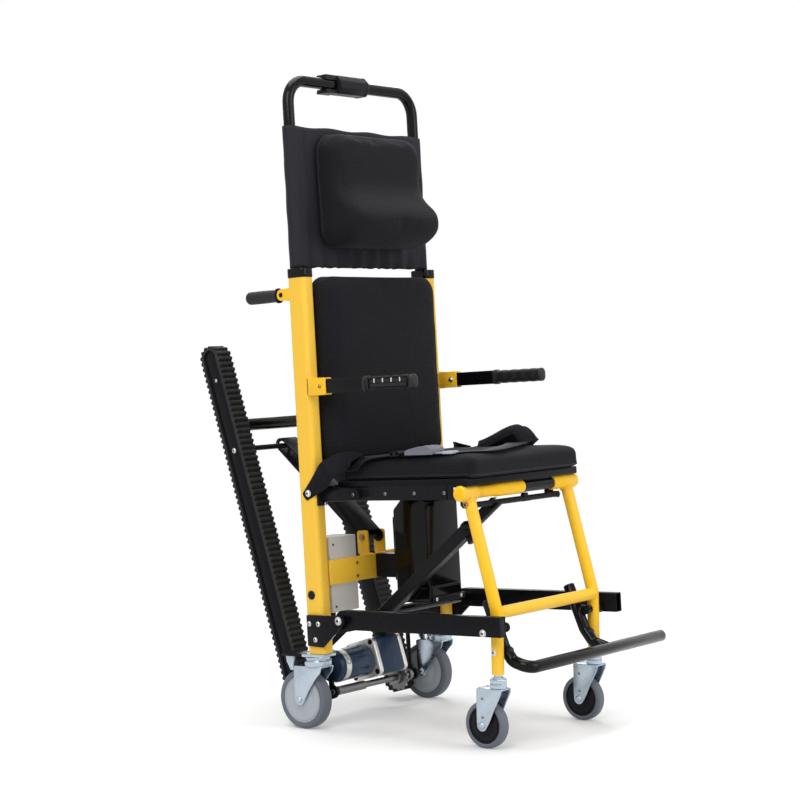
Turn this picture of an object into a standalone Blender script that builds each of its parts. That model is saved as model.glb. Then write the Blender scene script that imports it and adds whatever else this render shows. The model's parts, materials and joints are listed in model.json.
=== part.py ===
"""Tracked stair climbing wheelchair, built in metres with Z up.

The chair is drawn upright: X to the sitter's left, Y to the rear, Z along the back posts, the origin on the
ground between the posts. The empty "chair" then leans it back, so that its four casters stand on the floor.
"""
import math

import bmesh
import bpy
from mathutils import Matrix, Vector

for old in list(bpy.data.objects):
    bpy.data.objects.remove(old, do_unlink=True)

# General
LEAN = math.radians(2.2)
GAP = 0.0003
ROUND = 20
SIDES = {"right": -1, "left": 1}

# Back posts and their collars
POST_X = 0.207
POST_W = 0.034
POST_D = 0.046
POST_WALL = 0.003
POST_Z0 = 0.158
POST_Z1 = 0.950
CAP_LIP = 0.002
CAP_H = 0.0167
REAR_LUG_T = 0.0035
REAR_LUG_Z = 0.914
REAR_LUG_REACH = 0.022
REAR_LUG_R = 0.012

# Push handle, control box and head panel
HANDLE_R = 0.0125
HANDLE_Y = 0.006
HANDLE_Z0 = 0.70
HANDLE_Z1 = 1.365
HANDLE_BEND = 0.05
CONTROL_X0 = -0.093
CONTROL_X1 = 0.072
CONTROL_D = 0.046
CONTROL_H = 0.040
ROCKER_L = 0.026
ROCKER_H = 0.016
ROCKER_DEPTH = 0.005
PANEL_H = 0.298
PANEL_T = 0.004
SLEEVE_T = 0.0025
PLEAT_PITCH = 0.046
PLEAT_DEPTH = 0.004
HEADREST_W = 0.32
HEADREST_H = 0.262
HEADREST_LIFT = 0.032
HEADREST_T = 0.042
HEADREST_ROLL = 0.034

# Backrest and seat cushions
BACKREST_OVER = 0.007
BACKREST_H = 0.382
BACKREST_T = 0.055
SEAT_W = 0.390
SEAT_Y0 = -0.060
SEAT_L = 0.358
SEAT_T = 0.0415
CROWN = 0.006

# Seat frame and its brackets
PAN_TOP = 0.518
PAN_T = 0.012
PAN_Y1 = -0.400
RAIL_OUT = 0.1945
RAIL_T = 0.012
RAIL_Z0 = 0.476
RAIL_Y0 = -0.050
RAIL_Y1 = -0.350
SEAT_PIVOT = (-0.117, 0.490)
SEAT_BRACKET_X = 0.204
SEAT_BRACKET_T = 0.006
SEAT_BRACKET_R = 0.014
SEAT_FOOT_T = 0.005
SEAT_FOOT_H = 0.052
SEAT_PIN_R = 0.005
BOLT_HEAD_R = 0.009
BOLT_HEAD_T = 0.004
FRONT_TUBE = (-0.383, 0.488)
FRONT_TUBE_R = 0.009
GUSSET_X0 = 0.020
GUSSET_X1 = 0.108
CATCH_BAR = (-0.378, 0.462)
CATCH_BAR_R = 0.006
CATCH_BAR_X = 0.150
LUG_T = 0.006

# Front frame
LEG_X = 0.171
LEG_R = 0.0125
LEG_KNEE = (-0.438, 0.252)
LEG_END_Z = 0.128
SLEEVE_OUT = 0.197
TEE_R = 0.017
TEE_END = 0.150
NECK_R = 0.013
NECK_END = 0.080
CUFF_R = 0.016
RIGHT_SLEEVE_END = 0.0125
LEFT_SLEEVE_END = 0.115

# Footrest
FOOT_X = 0.143
FOOT_R = 0.0125
FOOT_PIVOT = (-0.437, 0.218)
FOOT_PIVOT_R = 0.008
FOOT_TOP = (-0.397, 0.268)
FOOT_BAR = (-0.490, 0.139)
FOOT_BAR_END = 0.350
FOOT_BEND = 0.045

# Base rails, their hinge plates and axle
BASE_PIVOT = (-0.073, 0.230)
BASE_RAIL_X = 0.197
BASE_RAIL_T = 0.020
BASE_RAIL_H = 0.040
BASE_RAIL_Y1 = -0.478
LEG_PIVOT = (-0.436, 0.215)
LEG_PIVOT_R = 0.009
OPEN_PIVOT = 0.0015
BASE_AXLE_R = 0.006
HINGE_PLATE_T = 0.006
HINGE_PLATE_Z0 = 0.173
HINGE_PLATE_R = 0.0145
HINGE_BOLTS = ((0.008, 0.222), (-0.017, 0.222), (-0.007, 0.189))

# Brace with its pull knob
BRACE_X = -0.075
BRACE_W = 0.026
BRACE_NOTCH = 0.0025
BRACE_OVER = 0.012
KNOB_AT = 0.285
KNOB_R = 0.011
KNOB_L = 0.014
KNOB_STEM_R = 0.004
KNOB_PULL = 0.008

# Cross plate, battery, dock and controller
PLATE_T = 0.005
PLATE_Z0 = 0.299
PLATE_Z1 = 0.351
PLATE_Y_RIGHT = -0.020
PLATE_Y_LEFT = 0.010
PLATE_JOG0 = -0.005
PLATE_JOG1 = 0.020
CLEVIS_PIVOT = (0.020, 0.385)
CLEVIS_T = 0.005
CLEVIS_R = 0.014
BATTERY_W = 0.112
BATTERY_Y0 = -0.180
BATTERY_Y1 = -0.090
BATTERY_Z0 = 0.252
BATTERY_Z1 = 0.456
BATTERY_RIB = 0.006
DOCK_T = 0.010
DOCK_W = 0.090
DOCK_Z0 = 0.300
DOCK_Z1 = 0.430
DOCK_WEB_X0 = -0.040
DOCK_WEB_X1 = -0.012
CONTROLLER_X0 = -0.182
CONTROLLER_X1 = -0.088
CONTROLLER_D = 0.058
CONTROLLER_Z0 = 0.239
CONTROLLER_Z1 = 0.389

# Arms and rear grips
ARM_X = 0.222
ARM_PIVOT = (-0.060, 0.717)
ARM_T = 0.014
ARM_H = 0.030
ARM_BAR_END = -0.180
ARM_GRIP_END = -0.307
ARM_GRIP_R = 0.0148
ARM_SPIGOT_R = 0.009
ARM_PIN_R = 0.004
ARM_CHEEK_T = 0.003
ARM_FOOT_T = 0.005
ARM_FOOT_H = 0.056
GRIP_RIDGES = 5
GRIP_GROOVE = 0.0018
REAR_GRIP_R = 0.014
REAR_GRIP_END = 0.151
REAR_GRIP_NECK = 0.016

# Axle beam, motor and drive shaft
BEAM_Z0 = 0.192
BEAM_Z1 = 0.214
BEAM_D = 0.024
SADDLE_X0 = 0.010
SADDLE_X1 = 0.060
SADDLE_Y1 = 0.036
HANGER_X = 0.1245
HANGER_T = 0.006
HANGER_Y0 = -0.014
HANGER_Y1 = 0.009
SHAFT = (0.035, 0.063)
SHAFT_R = 0.007
SHAFT_COVER = 0.0085
SHAFT_BED = 0.011
SPROCKET_R = 0.030
SPROCKET_X = 0.080
SPROCKET_T = 0.006
SPROCKET_TEETH = 14
MOTOR = (0.047, 0.1146)
MOTOR_R = 0.033
MOTOR_X0 = -0.130
FLANGE_X0 = -0.020
GEARBOX_X1 = 0.075
GEARBOX_W = 0.084

# Tracks and their strut
TRACK_X = 0.161
BELT_W = 0.042
BELT_R = 0.0285
BELT_T = 0.010
BELT_TREAD = 0.004
BELT_PITCH = 0.028
PULLEY_LOW = (0.096, 0.045)
PULLEY_HIGH = (0.304, 0.7915)
TRACK_PROUD = 0.0015
TRACK_SUNK = 0.0035
LINK_T = 0.007
LINK_R = 0.014
TRACK_ROD = (0.248, 0.590)
TRACK_ROD_R = 0.006
CROSS_TUBE_RISE = 0.053
CROSS_TUBE_BACK = 0.002
CROSS_TUBE_R = 0.014
STRUT_W = 0.050
STRUT_D = 0.028
STRUT_OVER = 0.019
STRUT_SLOT = 0.062
STRUT_PLAY = 0.003
STRUT_PIN_R = 0.005

# Casters
REAR_WHEEL_R = 0.0625
REAR_WHEEL_W = 0.030
REAR_HUB_R = 0.050
REAR_AXLE_Y = 0.050
REAR_STEM_Y = 0.016
REAR_HEAD_R = 0.026
REAR_PLATE_T = 0.007
REAR_PLATE_X = 0.186
REAR_PLATE_OVER = 0.008
REAR_PLATE_Y1 = 0.093
REAR_CROWN_Z = 0.1315
FRONT_WHEEL_R = 0.0475
FRONT_WHEEL_W = 0.024
FRONT_HUB_R = 0.0375
FRONT_TRAIL = 0.030
FRONT_SWIVEL = {"right": 0.0, "left": 0.0}
STEM_R = 0.006
STEM_UP = 0.030
NECK_H = 0.0075
CASTER_NECK_R = 0.0085
NUT_R = 0.0185
NUT_H = 0.0195
FORK_T = 0.003
FORK_SIDE = 0.003
FORK_BACK = 0.0125
FORK_NOSE = 0.048
AXLE_R = 0.004
GROUND_DROP = 0.005

# Lap belt
BELT_STRAP_W = 0.046
BELT_STRAP_T = 0.002
BUCKLE_L = 0.060
BUCKLE_W = 0.054
BUCKLE_T = 0.010

# Worked out from the sizes above
POST_IN = POST_X - POST_W / 2
POST_OUT = POST_X + POST_W / 2
POST_FRONT = -POST_D / 2
POST_REAR = POST_D / 2
PANEL_Z0 = POST_Z1 + GAP + CAP_H + GAP
PANEL_FRONT = HANDLE_Y - HANDLE_R - GAP - SLEEVE_T
RAIL_IN = RAIL_OUT - RAIL_T
PAN_Z0 = PAN_TOP - PAN_T
SEAT_TOP = PAN_TOP + GAP + SEAT_T + CROWN
BACKREST_Z0 = SEAT_TOP + BACKREST_OVER
CROSS_TUBE = (TRACK_ROD[0] + CROSS_TUBE_BACK, TRACK_ROD[1] + CROSS_TUBE_RISE)
BASE_RAIL_OUT = BASE_RAIL_X + BASE_RAIL_T
TRACK_IN = TRACK_X - BELT_W / 2 - TRACK_PROUD
WORLD_UP = Vector((0.0, -math.sin(LEAN), math.cos(LEAN)))


def ground_height(y):
    """Height of the floor under a point, in the upright drawing."""
    return y * math.tan(LEAN) - GROUND_DROP


def link_object(name, bm):
    """Turn a bmesh into a linked object with outward normals."""
    bmesh.ops.recalc_face_normals(bm, faces=bm.faces)
    mesh = bpy.data.meshes.new(name)
    bm.to_mesh(mesh)
    bm.free()
    obj = bpy.data.objects.new(name, mesh)
    bpy.context.scene.collection.objects.link(obj)
    return obj


def box(x, y, z, bevel=0.0, segments=1, name="box"):
    """Box between pairs of limits, with all edges rounded by bevel."""
    bm = bmesh.new()
    size = Vector((x[1] - x[0], y[1] - y[0], z[1] - z[0]))
    middle = Vector((x[0] + x[1], y[0] + y[1], z[0] + z[1])) / 2
    place = Matrix.Translation(middle) @ Matrix.Diagonal((*size, 1.0))
    bmesh.ops.create_cube(bm, size=1.0, matrix=place)
    if bevel:
        bmesh.ops.bevel(bm, geom=bm.edges[:], offset=bevel, segments=segments, profile=0.5, affect="EDGES")
    return link_object(name, bm)


def rod(start, end, radius, sides=14, end_radius=None, name="rod"):
    """Round bar between two points, tapered if an end radius is given."""
    start = Vector(start)
    along = Vector(end) - start
    turn = along.to_track_quat("Z", "Y").to_matrix().to_4x4()
    place = Matrix.Translation(start + along / 2) @ turn
    bm = bmesh.new()
    bmesh.ops.create_cone(bm, cap_ends=True, segments=sides, radius1=radius,
                          radius2=radius if end_radius is None else end_radius,
                          depth=along.length, matrix=place)
    return link_object(name, bm)


def rod_x(x0, x1, yz, radius, sides=14, end_radius=None):
    """Round bar along X at a (y, z) place."""
    return rod((x0, *yz), (x1, *yz), radius, sides, end_radius)


def slab(outline, limits, axis="x", name="slab"):
    """Flat outline pushed along an axis between two limits."""
    place = {"x": lambda a, b, c: (c, a, b), "y": lambda a, b, c: (a, c, b), "z": lambda a, b, c: (a, b, c)}[axis]
    bm = bmesh.new()
    low = [bm.verts.new(place(a, b, limits[0])) for a, b in outline]
    high = [bm.verts.new(place(a, b, limits[1])) for a, b in outline]
    bm.faces.new(low)
    bm.faces.new(high)
    for i in range(len(outline)):
        j = (i + 1) % len(outline)
        bm.faces.new((low[i], low[j], high[j], high[i]))
    return link_object(name, bm)


def arc(centre, radius, start, end, steps):
    """Points of an arc, angles in degrees."""
    points = []
    for i in range(steps + 1):
        angle = math.radians(start + (end - start) * i / steps)
        points.append((centre[0] + radius * math.cos(angle), centre[1] + radius * math.sin(angle)))
    return points


def rounded_rect(width, depth, radius, steps=3, centre=(0.0, 0.0)):
    """Rectangle outline with round corners."""
    points = []
    for k, (sx, sy) in enumerate(((1, 1), (-1, 1), (-1, -1), (1, -1))):
        corner = (centre[0] + sx * (width / 2 - radius), centre[1] + sy * (depth / 2 - radius))
        points += arc(corner, radius, 90 * k, 90 * k + 90, steps)
    return points


def capsule(low, high, radius, steps=8):
    """Outline round two points."""
    lean = math.degrees(math.atan2(high[1] - low[1], high[0] - low[0]))
    return arc(high, radius, lean - 90, lean + 90, steps) + arc(low, radius, lean + 90, lean + 270, steps)


def round_path(points, radius, steps=5):
    """Path through points with each inner corner rounded."""
    points = [Vector(p) for p in points]
    path = [points[0]]
    for before, corner, after in zip(points, points[1:], points[2:]):
        into = (corner - before).normalized()
        out = (after - corner).normalized()
        turn = into.angle(out)
        reach = radius * math.tan(turn / 2)
        bisector = (out - into).normalized()
        centre = corner + bisector * (radius / math.cos(turn / 2))
        first = corner - into * reach - centre
        axis = into.cross(out).normalized()
        for i in range(steps + 1):
            path.append(centre + Matrix.Rotation(turn * i / steps, 3, axis) @ first)
    path.append(points[-1])
    return path


def smooth_path(points, steps=3):
    """Smooth curve through all the points."""
    points = [Vector(p) for p in points]
    path = []
    for i in range(len(points) - 1):
        before, start = points[max(i - 1, 0)], points[i]
        end, after = points[i + 1], points[min(i + 2, len(points) - 1)]
        for k in range(steps):
            t = k / steps
            path.append(0.5 * (2 * start + (end - before) * t + (2 * before - 5 * start + 4 * end - after) * t ** 2
                               + (3 * start - before - 3 * end + after) * t ** 3))
    path.append(points[-1])
    return path


def sweep(path, section, normal, name="sweep"):
    """Closed solid made by carrying a section along a path."""
    path = [Vector(p) for p in path]
    side = Vector(normal)
    bm = bmesh.new()
    rings = []
    for i, point in enumerate(path):
        ahead = path[min(i + 1, len(path) - 1)] - point
        behind = point - path[max(i - 1, 0)]
        tangent = (ahead.normalized() + behind.normalized()).normalized()
        side = (side - tangent * side.dot(tangent)).normalized()
        other = tangent.cross(side)
        rings.append([bm.verts.new(point + side * a + other * b) for a, b in section])
    for ring, after in zip(rings, rings[1:]):
        for i in range(len(section)):
            j = (i + 1) % len(section)
            bm.faces.new((ring[i], ring[j], after[j], after[i]))
    bm.faces.new(rings[0])
    bm.faces.new(rings[-1])
    return link_object(name, bm)


def circle(radius, sides=16):
    """Round section for sweep."""
    return arc((0.0, 0.0), radius, 0, 360 - 360 / sides, sides - 1)


def lathe(profile, place, sides=28, name="lathe"):
    """Ring turned about the local X axis from a closed profile of (along, radius) points."""
    bm = bmesh.new()
    rings = []
    for along, radius in profile:
        ring = []
        for k in range(sides):
            angle = 2 * math.pi * k / sides
            ring.append(bm.verts.new(place @ Vector((along, radius * math.cos(angle), radius * math.sin(angle)))))
        rings.append(ring)
    for a in range(len(rings)):
        ring, after = rings[a], rings[(a + 1) % len(rings)]
        for k in range(sides):
            m = (k + 1) % sides
            bm.faces.new((ring[k], ring[m], after[m], after[k]))
    return link_object(name, bm)


def combine(obj, others, operation="UNION"):
    """Join or cut with exact Booleans, and keep the result as a plain mesh."""
    for other in others:
        tool = obj.modifiers.new("combine", "BOOLEAN")
        tool.operation = operation
        tool.solver = "EXACT"
        tool.object = other
    bpy.context.view_layer.update()
    graph = bpy.context.evaluated_depsgraph_get()
    mesh = bpy.data.meshes.new_from_object(obj.evaluated_get(graph))
    obj.modifiers.clear()
    obj.data = mesh
    for other in others:
        bpy.data.objects.remove(other, do_unlink=True)
    return obj


def cut(obj, others):
    """Cut others out of obj."""
    return combine(obj, others, "DIFFERENCE")


def pad(width, depth, thickness, corner, crown, sides=4):
    """Cushion lying flat on z = 0: round corners, a drawn-in seam line and a crowned top."""
    edge = min(0.012, thickness / 3)
    rings = [(0.55, 0.0), (0.02, 0.0), (edge * 0.35, edge * 0.3), (0.0, edge), (0.0, thickness * 0.44),
             (0.0022, thickness * 0.5), (0.0, thickness * 0.56), (0.0008, thickness - edge),
             (edge * 0.4, thickness - edge * 0.3), (edge, thickness)]
    bm = bmesh.new()
    loops = []
    for number, (inset, height) in enumerate(rings):
        if number == 0:
            outline = rounded_rect(width * inset, depth * inset, corner * inset, sides)
        else:
            outline = rounded_rect(width - 2 * inset, depth - 2 * inset, max(corner - inset, 0.004), sides)
        loops.append([bm.verts.new((x, y, height)) for x, y in outline])
    for share in (0.84, 0.62, 0.36):
        outline = rounded_rect(width * share, depth * share, corner * share, sides)
        rise = crown * (1 - share ** 2)
        loops.append([bm.verts.new((x, y, thickness + rise)) for x, y in outline])
    for loop, after in zip(loops, loops[1:]):
        for i in range(len(loop)):
            j = (i + 1) % len(loop)
            bm.faces.new((loop[i], loop[j], after[j], after[i]))
    bm.faces.new(loops[0])
    bm.faces.new(loops[-1])
    return link_object("pad", bm)


def placed(obj, matrix):
    """Move an object's mesh by a matrix."""
    obj.data.transform(matrix)
    return obj


MATERIALS = {
    "yellow": ((0.80, 0.42, 0.02), 0.0, 0.35),
    "black_paint": ((0.02, 0.02, 0.022), 0.0, 0.35),
    "black_plastic": ((0.025, 0.025, 0.027), 0.0, 0.55),
    "fabric": ((0.015, 0.015, 0.017), 0.0, 0.9),
    "rubber": ((0.02, 0.02, 0.02), 0.0, 0.8),
    "grey_tyre": ((0.30, 0.31, 0.32), 0.0, 0.7),
    "zinc": ((0.62, 0.63, 0.64), 1.0, 0.35),
    "blue": ((0.03, 0.10, 0.36), 0.0, 0.4),
    "beige": ((0.62, 0.57, 0.45), 0.0, 0.5),
    "grey_plastic": ((0.25, 0.25, 0.26), 0.0, 0.5),
}
bodies = {}


def body(name, pivot, parent=None, turn=0.0):
    """Empty on a joint axis, in the upright drawing; its pieces are drawn round the same origin."""
    empty = bpy.data.objects.new(name + "_axis", None)
    bpy.context.scene.collection.objects.link(empty)
    above = bodies.get(parent)
    empty.parent = above["empty"] if above else None
    start = above["pivot"] if above else Vector((0.0, 0.0, 0.0))
    empty.location = Vector(pivot) - start
    empty.rotation_euler.x = turn
    bodies[name] = {"empty": empty, "pivot": Vector(pivot)}


def node(obj, name, material, owner, local=False):
    """Name a finished piece, give it its own material and hang it on its body."""
    holder = bodies[owner]
    if not local:
        obj.data.transform(Matrix.Translation(-holder["pivot"]))
    obj.name = name
    obj.data.name = name
    obj.parent = holder["empty"]
    colour, metal, rough = MATERIALS[material]
    paint = bpy.data.materials.new(name + "_" + material)
    paint.use_nodes = True
    surface = paint.node_tree.nodes["Principled BSDF"]
    surface.inputs["Base Color"].default_value = (*colour, 1.0)
    surface.inputs["Metallic"].default_value = metal
    surface.inputs["Roughness"].default_value = rough
    paint.diffuse_color = (*colour, 1.0)
    obj.data.materials.clear()
    obj.data.materials.append(paint)
    return obj


def span(side, near, far):
    """Limits along X on one side, from the nearer to the further distance off the middle."""
    return (near, far) if side > 0 else (-far, -near)


body("chair", (0.0, 0.0, 0.0), turn=-LEAN)
body("handle", (0.0, HANDLE_Y, HANDLE_Z1), "chair")
body("rocker", ((CONTROL_X0 + CONTROL_X1) / 2, HANDLE_Y + CONTROL_D / 2, HANDLE_Z1), "handle")
body("seat", (0.0, *SEAT_PIVOT), "chair")
body("front", (0.0, *FRONT_TUBE), "seat")
body("foot", (0.0, *FOOT_PIVOT), "front")
body("base", (0.0, *BASE_PIVOT), "chair")
body("brace", (BRACE_X, *BASE_PIVOT), "chair")
body("tracks", (0.0, *SHAFT), "chair")
body("strut", (0.0, *CLEVIS_PIVOT), "chair")
body("shaft", (0.0, *SHAFT), "chair")


def make_posts():
    """Back posts with welded lugs for the rear grips, and the collars on top."""
    lug_y = POST_REAR + REAR_LUG_REACH
    for word, side in SIDES.items():
        middle = side * POST_X
        post = slab(rounded_rect(POST_W, POST_D, 0.006, 2, (middle, 0.0)), (POST_Z0, POST_Z1), "z")
        for cheek in (-1, 1):
            near = middle + cheek * (POST_W / 2 - REAR_LUG_T / 2 - 0.003)
            outline = [(POST_REAR - 0.0015, REAR_LUG_Z - REAR_LUG_R), (lug_y, REAR_LUG_Z - REAR_LUG_R)]
            outline += arc((lug_y, REAR_LUG_Z), REAR_LUG_R, -75, 75, 6)
            outline += [(lug_y, REAR_LUG_Z + REAR_LUG_R), (POST_REAR - 0.0015, REAR_LUG_Z + REAR_LUG_R)]
            combine(post, [slab(outline, (near - REAR_LUG_T / 2, near + REAR_LUG_T / 2))])
        combine(post, [rod_x(middle - POST_W / 2 + 0.002, middle + POST_W / 2 - 0.002, (lug_y, REAR_LUG_Z), 0.004)])
        bore = rounded_rect(POST_W - 2 * POST_WALL, POST_D - 2 * POST_WALL, 0.004, 1, (middle, 0.0))
        cut(post, [slab(bore, (POST_Z0 - 0.01, POST_Z1 + 0.01), "z")])
        node(post, "post_" + word, "yellow", "chair")
        low = POST_Z1 + GAP
        cap = slab(rounded_rect(POST_W + 2 * CAP_LIP, POST_D + 2 * CAP_LIP, 0.007, 3, (middle, 0.0)),
                   (low, low + CAP_H), "z")
        cut(cap, [rod((middle, HANDLE_Y, low - 0.01), (middle, HANDLE_Y, low + CAP_H + 0.01), HANDLE_R + GAP,
                       ROUND)])
        node(cap, "post_cap_" + word, "black_plastic", "chair")


def make_handle():
    """Telescopic push handle, its control box and the drive rocker."""
    path = round_path([(-POST_X, HANDLE_Y, HANDLE_Z0), (-POST_X, HANDLE_Y, HANDLE_Z1),
                       (POST_X, HANDLE_Y, HANDLE_Z1), (POST_X, HANDLE_Y, HANDLE_Z0)], HANDLE_BEND, 5)
    node(sweep(path, circle(HANDLE_R, ROUND), (0, 1, 0)), "push_handle", "black_paint", "handle")
    d, h = CONTROL_D / 2, CONTROL_H / 2
    outline = [(-d, -0.4 * h), (-0.5 * d, -h), (0.55 * d, -h), (d, -0.6 * h), (d, 0.6 * h), (0.5 * d, h),
               (-0.5 * d, h), (-d, 0.3 * h)]
    outline = [(HANDLE_Y + a, HANDLE_Z1 + b) for a, b in outline]
    case = slab(outline, (CONTROL_X0, CONTROL_X1))
    cut(case, [rod_x(CONTROL_X0 - 0.01, CONTROL_X1 + 0.01, (HANDLE_Y, HANDLE_Z1), HANDLE_R + GAP, ROUND)])
    middle = (CONTROL_X0 + CONTROL_X1) / 2
    face = HANDLE_Y + d
    cut(case, [box((middle - ROCKER_L / 2, middle + ROCKER_L / 2), (face - ROCKER_DEPTH, face + 0.01),
                   (HANDLE_Z1 - ROCKER_H / 2, HANDLE_Z1 + ROCKER_H / 2))])
    node(case, "control_box", "black_plastic", "handle")
    reach = ROCKER_H / 2 - 0.0012
    outline = [(face - 0.0028, -reach * 0.8), (face + 0.0035, -reach), (face + 0.0016, 0.0), (face + 0.0035, reach),
               (face - 0.0028, reach * 0.8), (face - 0.0036, 0.0)]
    outline = [(a, HANDLE_Z1 + b) for a, b in outline]
    half = ROCKER_L / 2 - GAP
    node(slab(outline, (middle - half, middle + half)), "drive_rocker", "grey_plastic", "rocker")


def make_head_panel():
    """Fabric panel sleeved on the handle tubes, gathered along its hem, with the headrest cushion on it."""
    columns, rows = 26, 4
    low, high = PANEL_Z0, PANEL_Z0 + PANEL_H
    bm = bmesh.new()
    grid = {}
    for face in (0, 1):
        for i in range(columns + 1):
            x = POST_X * (2 * i / columns - 1)
            for j in range(rows + 1):
                t = (j / rows) ** 1.8
                fold = PLEAT_DEPTH * (1 - t) ** 6 * (1 + math.sin(2 * math.pi * x / PLEAT_PITCH))
                inside = min(1.0, 6 * (1 - abs(x) / POST_X))
                y = PANEL_FRONT + face * PANEL_T + fold * inside
                grid[face, i, j] = bm.verts.new((x, y, low + t * PANEL_H))
    for i in range(columns):
        for j in range(rows):
            for face in (0, 1):
                bm.faces.new([grid[face, i + a, j + b] for a, b in ((0, 0), (1, 0), (1, 1), (0, 1))])
    for i in range(columns):
        for j in (0, rows):
            bm.faces.new([grid[0, i, j], grid[0, i + 1, j], grid[1, i + 1, j], grid[1, i, j]])
    for j in range(rows):
        for i in (0, columns):
            bm.faces.new([grid[0, i, j], grid[0, i, j + 1], grid[1, i, j + 1], grid[1, i, j]])
    panel = link_object("panel", bm)
    for side in SIDES.values():
        x = side * POST_X
        combine(panel, [rod((x, HANDLE_Y, low), (x, HANDLE_Y, high), HANDLE_R + GAP + SLEEVE_T, ROUND)])
    for side in SIDES.values():
        x = side * POST_X
        cut(panel, [rod((x, HANDLE_Y, low - 0.01), (x, HANDLE_Y, high + 0.01), HANDLE_R + GAP, ROUND)])
    node(panel, "head_panel", "fabric", "handle")

    cushion = pad(HEADREST_W, HEADREST_H, HEADREST_T, 0.045, CROWN)
    for vert in cushion.data.vertices:
        up = vert.co.y / HEADREST_H + 0.5
        roll = math.exp(-((up - 0.22) / 0.17) ** 2)
        vert.co.z *= 1 + HEADREST_ROLL / HEADREST_T * roll
    base = PANEL_Z0 + HEADREST_LIFT + HEADREST_H / 2
    stand = Matrix.Translation((0.0, PANEL_FRONT - GAP, base)) @ Matrix.Rotation(math.radians(90), 4, "X")
    node(placed(cushion, stand), "headrest_cushion", "fabric", "handle")


def make_cushions():
    """Backrest between the posts and seat cushion on the pan."""
    back = pad(2 * (POST_IN - GAP), BACKREST_H, BACKREST_T, 0.028, CROWN)
    stand = Matrix.Translation((0.0, 0.0, BACKREST_Z0 + BACKREST_H / 2)) @ Matrix.Rotation(math.radians(90), 4, "X")
    node(placed(back, stand), "backrest_cushion", "fabric", "chair")
    seat = pad(SEAT_W, SEAT_L, SEAT_T, 0.032, CROWN)
    node(placed(seat, Matrix.Translation((0.0, SEAT_Y0 - SEAT_L / 2, PAN_TOP + GAP))),
         "seat_cushion", "fabric", "seat")


def make_seat_frame():
    """Seat pan with its side rails, pivot pins, front tube and the bar that catches the brace."""
    frame = box((-RAIL_OUT, RAIL_OUT), (PAN_Y1, SEAT_Y0), (PAN_Z0, PAN_TOP))
    lug_y = FRONT_TUBE[0] + TEE_R
    bar_y, bar_z = CATCH_BAR
    lug = [(lug_y, PAN_Z0 + 0.004), (lug_y + 0.020, PAN_Z0 + 0.004), (lug_y + 0.020, bar_z - 0.007),
           (bar_y - 0.006, bar_z - 0.007), (bar_y - 0.006, bar_z + 0.0065), (lug_y, bar_z + 0.0065)]
    pin_end = SEAT_BRACKET_X + SEAT_BRACKET_T + GAP
    for side in SIDES.values():
        rail = box(span(side, RAIL_IN, RAIL_OUT), (RAIL_Y1, RAIL_Y0), (RAIL_Z0, PAN_Z0 + 0.004))
        pin = rod_x(side * (RAIL_IN + 0.004), side * (pin_end + 0.002), SEAT_PIVOT, SEAT_PIN_R)
        washer = rod_x(side * (RAIL_OUT - 0.001), side * (SEAT_BRACKET_X - GAP), SEAT_PIVOT, BOLT_HEAD_R)
        head = rod_x(side * pin_end, side * (pin_end + BOLT_HEAD_T), SEAT_PIVOT, BOLT_HEAD_R, 6)
        hook = slab(lug, span(side, CATCH_BAR_X - LUG_T, CATCH_BAR_X))
        combine(frame, [rail, pin, washer, head, hook])
    combine(frame, [rod_x(-CATCH_BAR_X + 0.001, CATCH_BAR_X - 0.001, CATCH_BAR, CATCH_BAR_R, 12)])
    stop = SLEEVE_OUT + GAP
    combine(frame, [rod_x(-stop - 0.001, stop + 0.001, FRONT_TUBE, FRONT_TUBE_R, ROUND)])
    gusset = box((GUSSET_X0, GUSSET_X1), (FRONT_TUBE[0] - 0.006, FRONT_TUBE[0] + 0.006),
                 (FRONT_TUBE[1], PAN_Z0 + 0.004))
    combine(frame, [gusset])
    for side in SIDES.values():
        combine(frame, [rod_x(side * stop, side * (stop + 0.003), FRONT_TUBE, FRONT_TUBE_R + 0.003, 12)])
    node(frame, "seat_frame", "black_paint", "seat")


def make_seat_brackets():
    """Brackets on the post fronts that carry the seat pivot."""
    y, z = SEAT_PIVOT
    front = POST_FRONT - GAP
    for word, side in SIDES.items():
        outline = [(front - SEAT_FOOT_T + 0.002, z - SEAT_FOOT_H / 2), (front - SEAT_FOOT_T + 0.002, z + SEAT_FOOT_H / 2)]
        outline += arc((y, z), SEAT_BRACKET_R, 90, 270, 8)
        web = slab(outline, span(side, SEAT_BRACKET_X, SEAT_BRACKET_X + SEAT_BRACKET_T))
        foot = box(span(side, POST_IN + 0.004, POST_OUT - 0.004), (front - SEAT_FOOT_T, front),
                   (z - SEAT_FOOT_H / 2, z + SEAT_FOOT_H / 2))
        combine(foot, [web])
        cut(foot, [rod_x(side * (SEAT_BRACKET_X - 0.01), side * (SEAT_BRACKET_X + 0.02), SEAT_PIVOT, SEAT_PIN_R + GAP)])
        node(foot, "seat_bracket_" + word, "black_paint", "chair")


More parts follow.
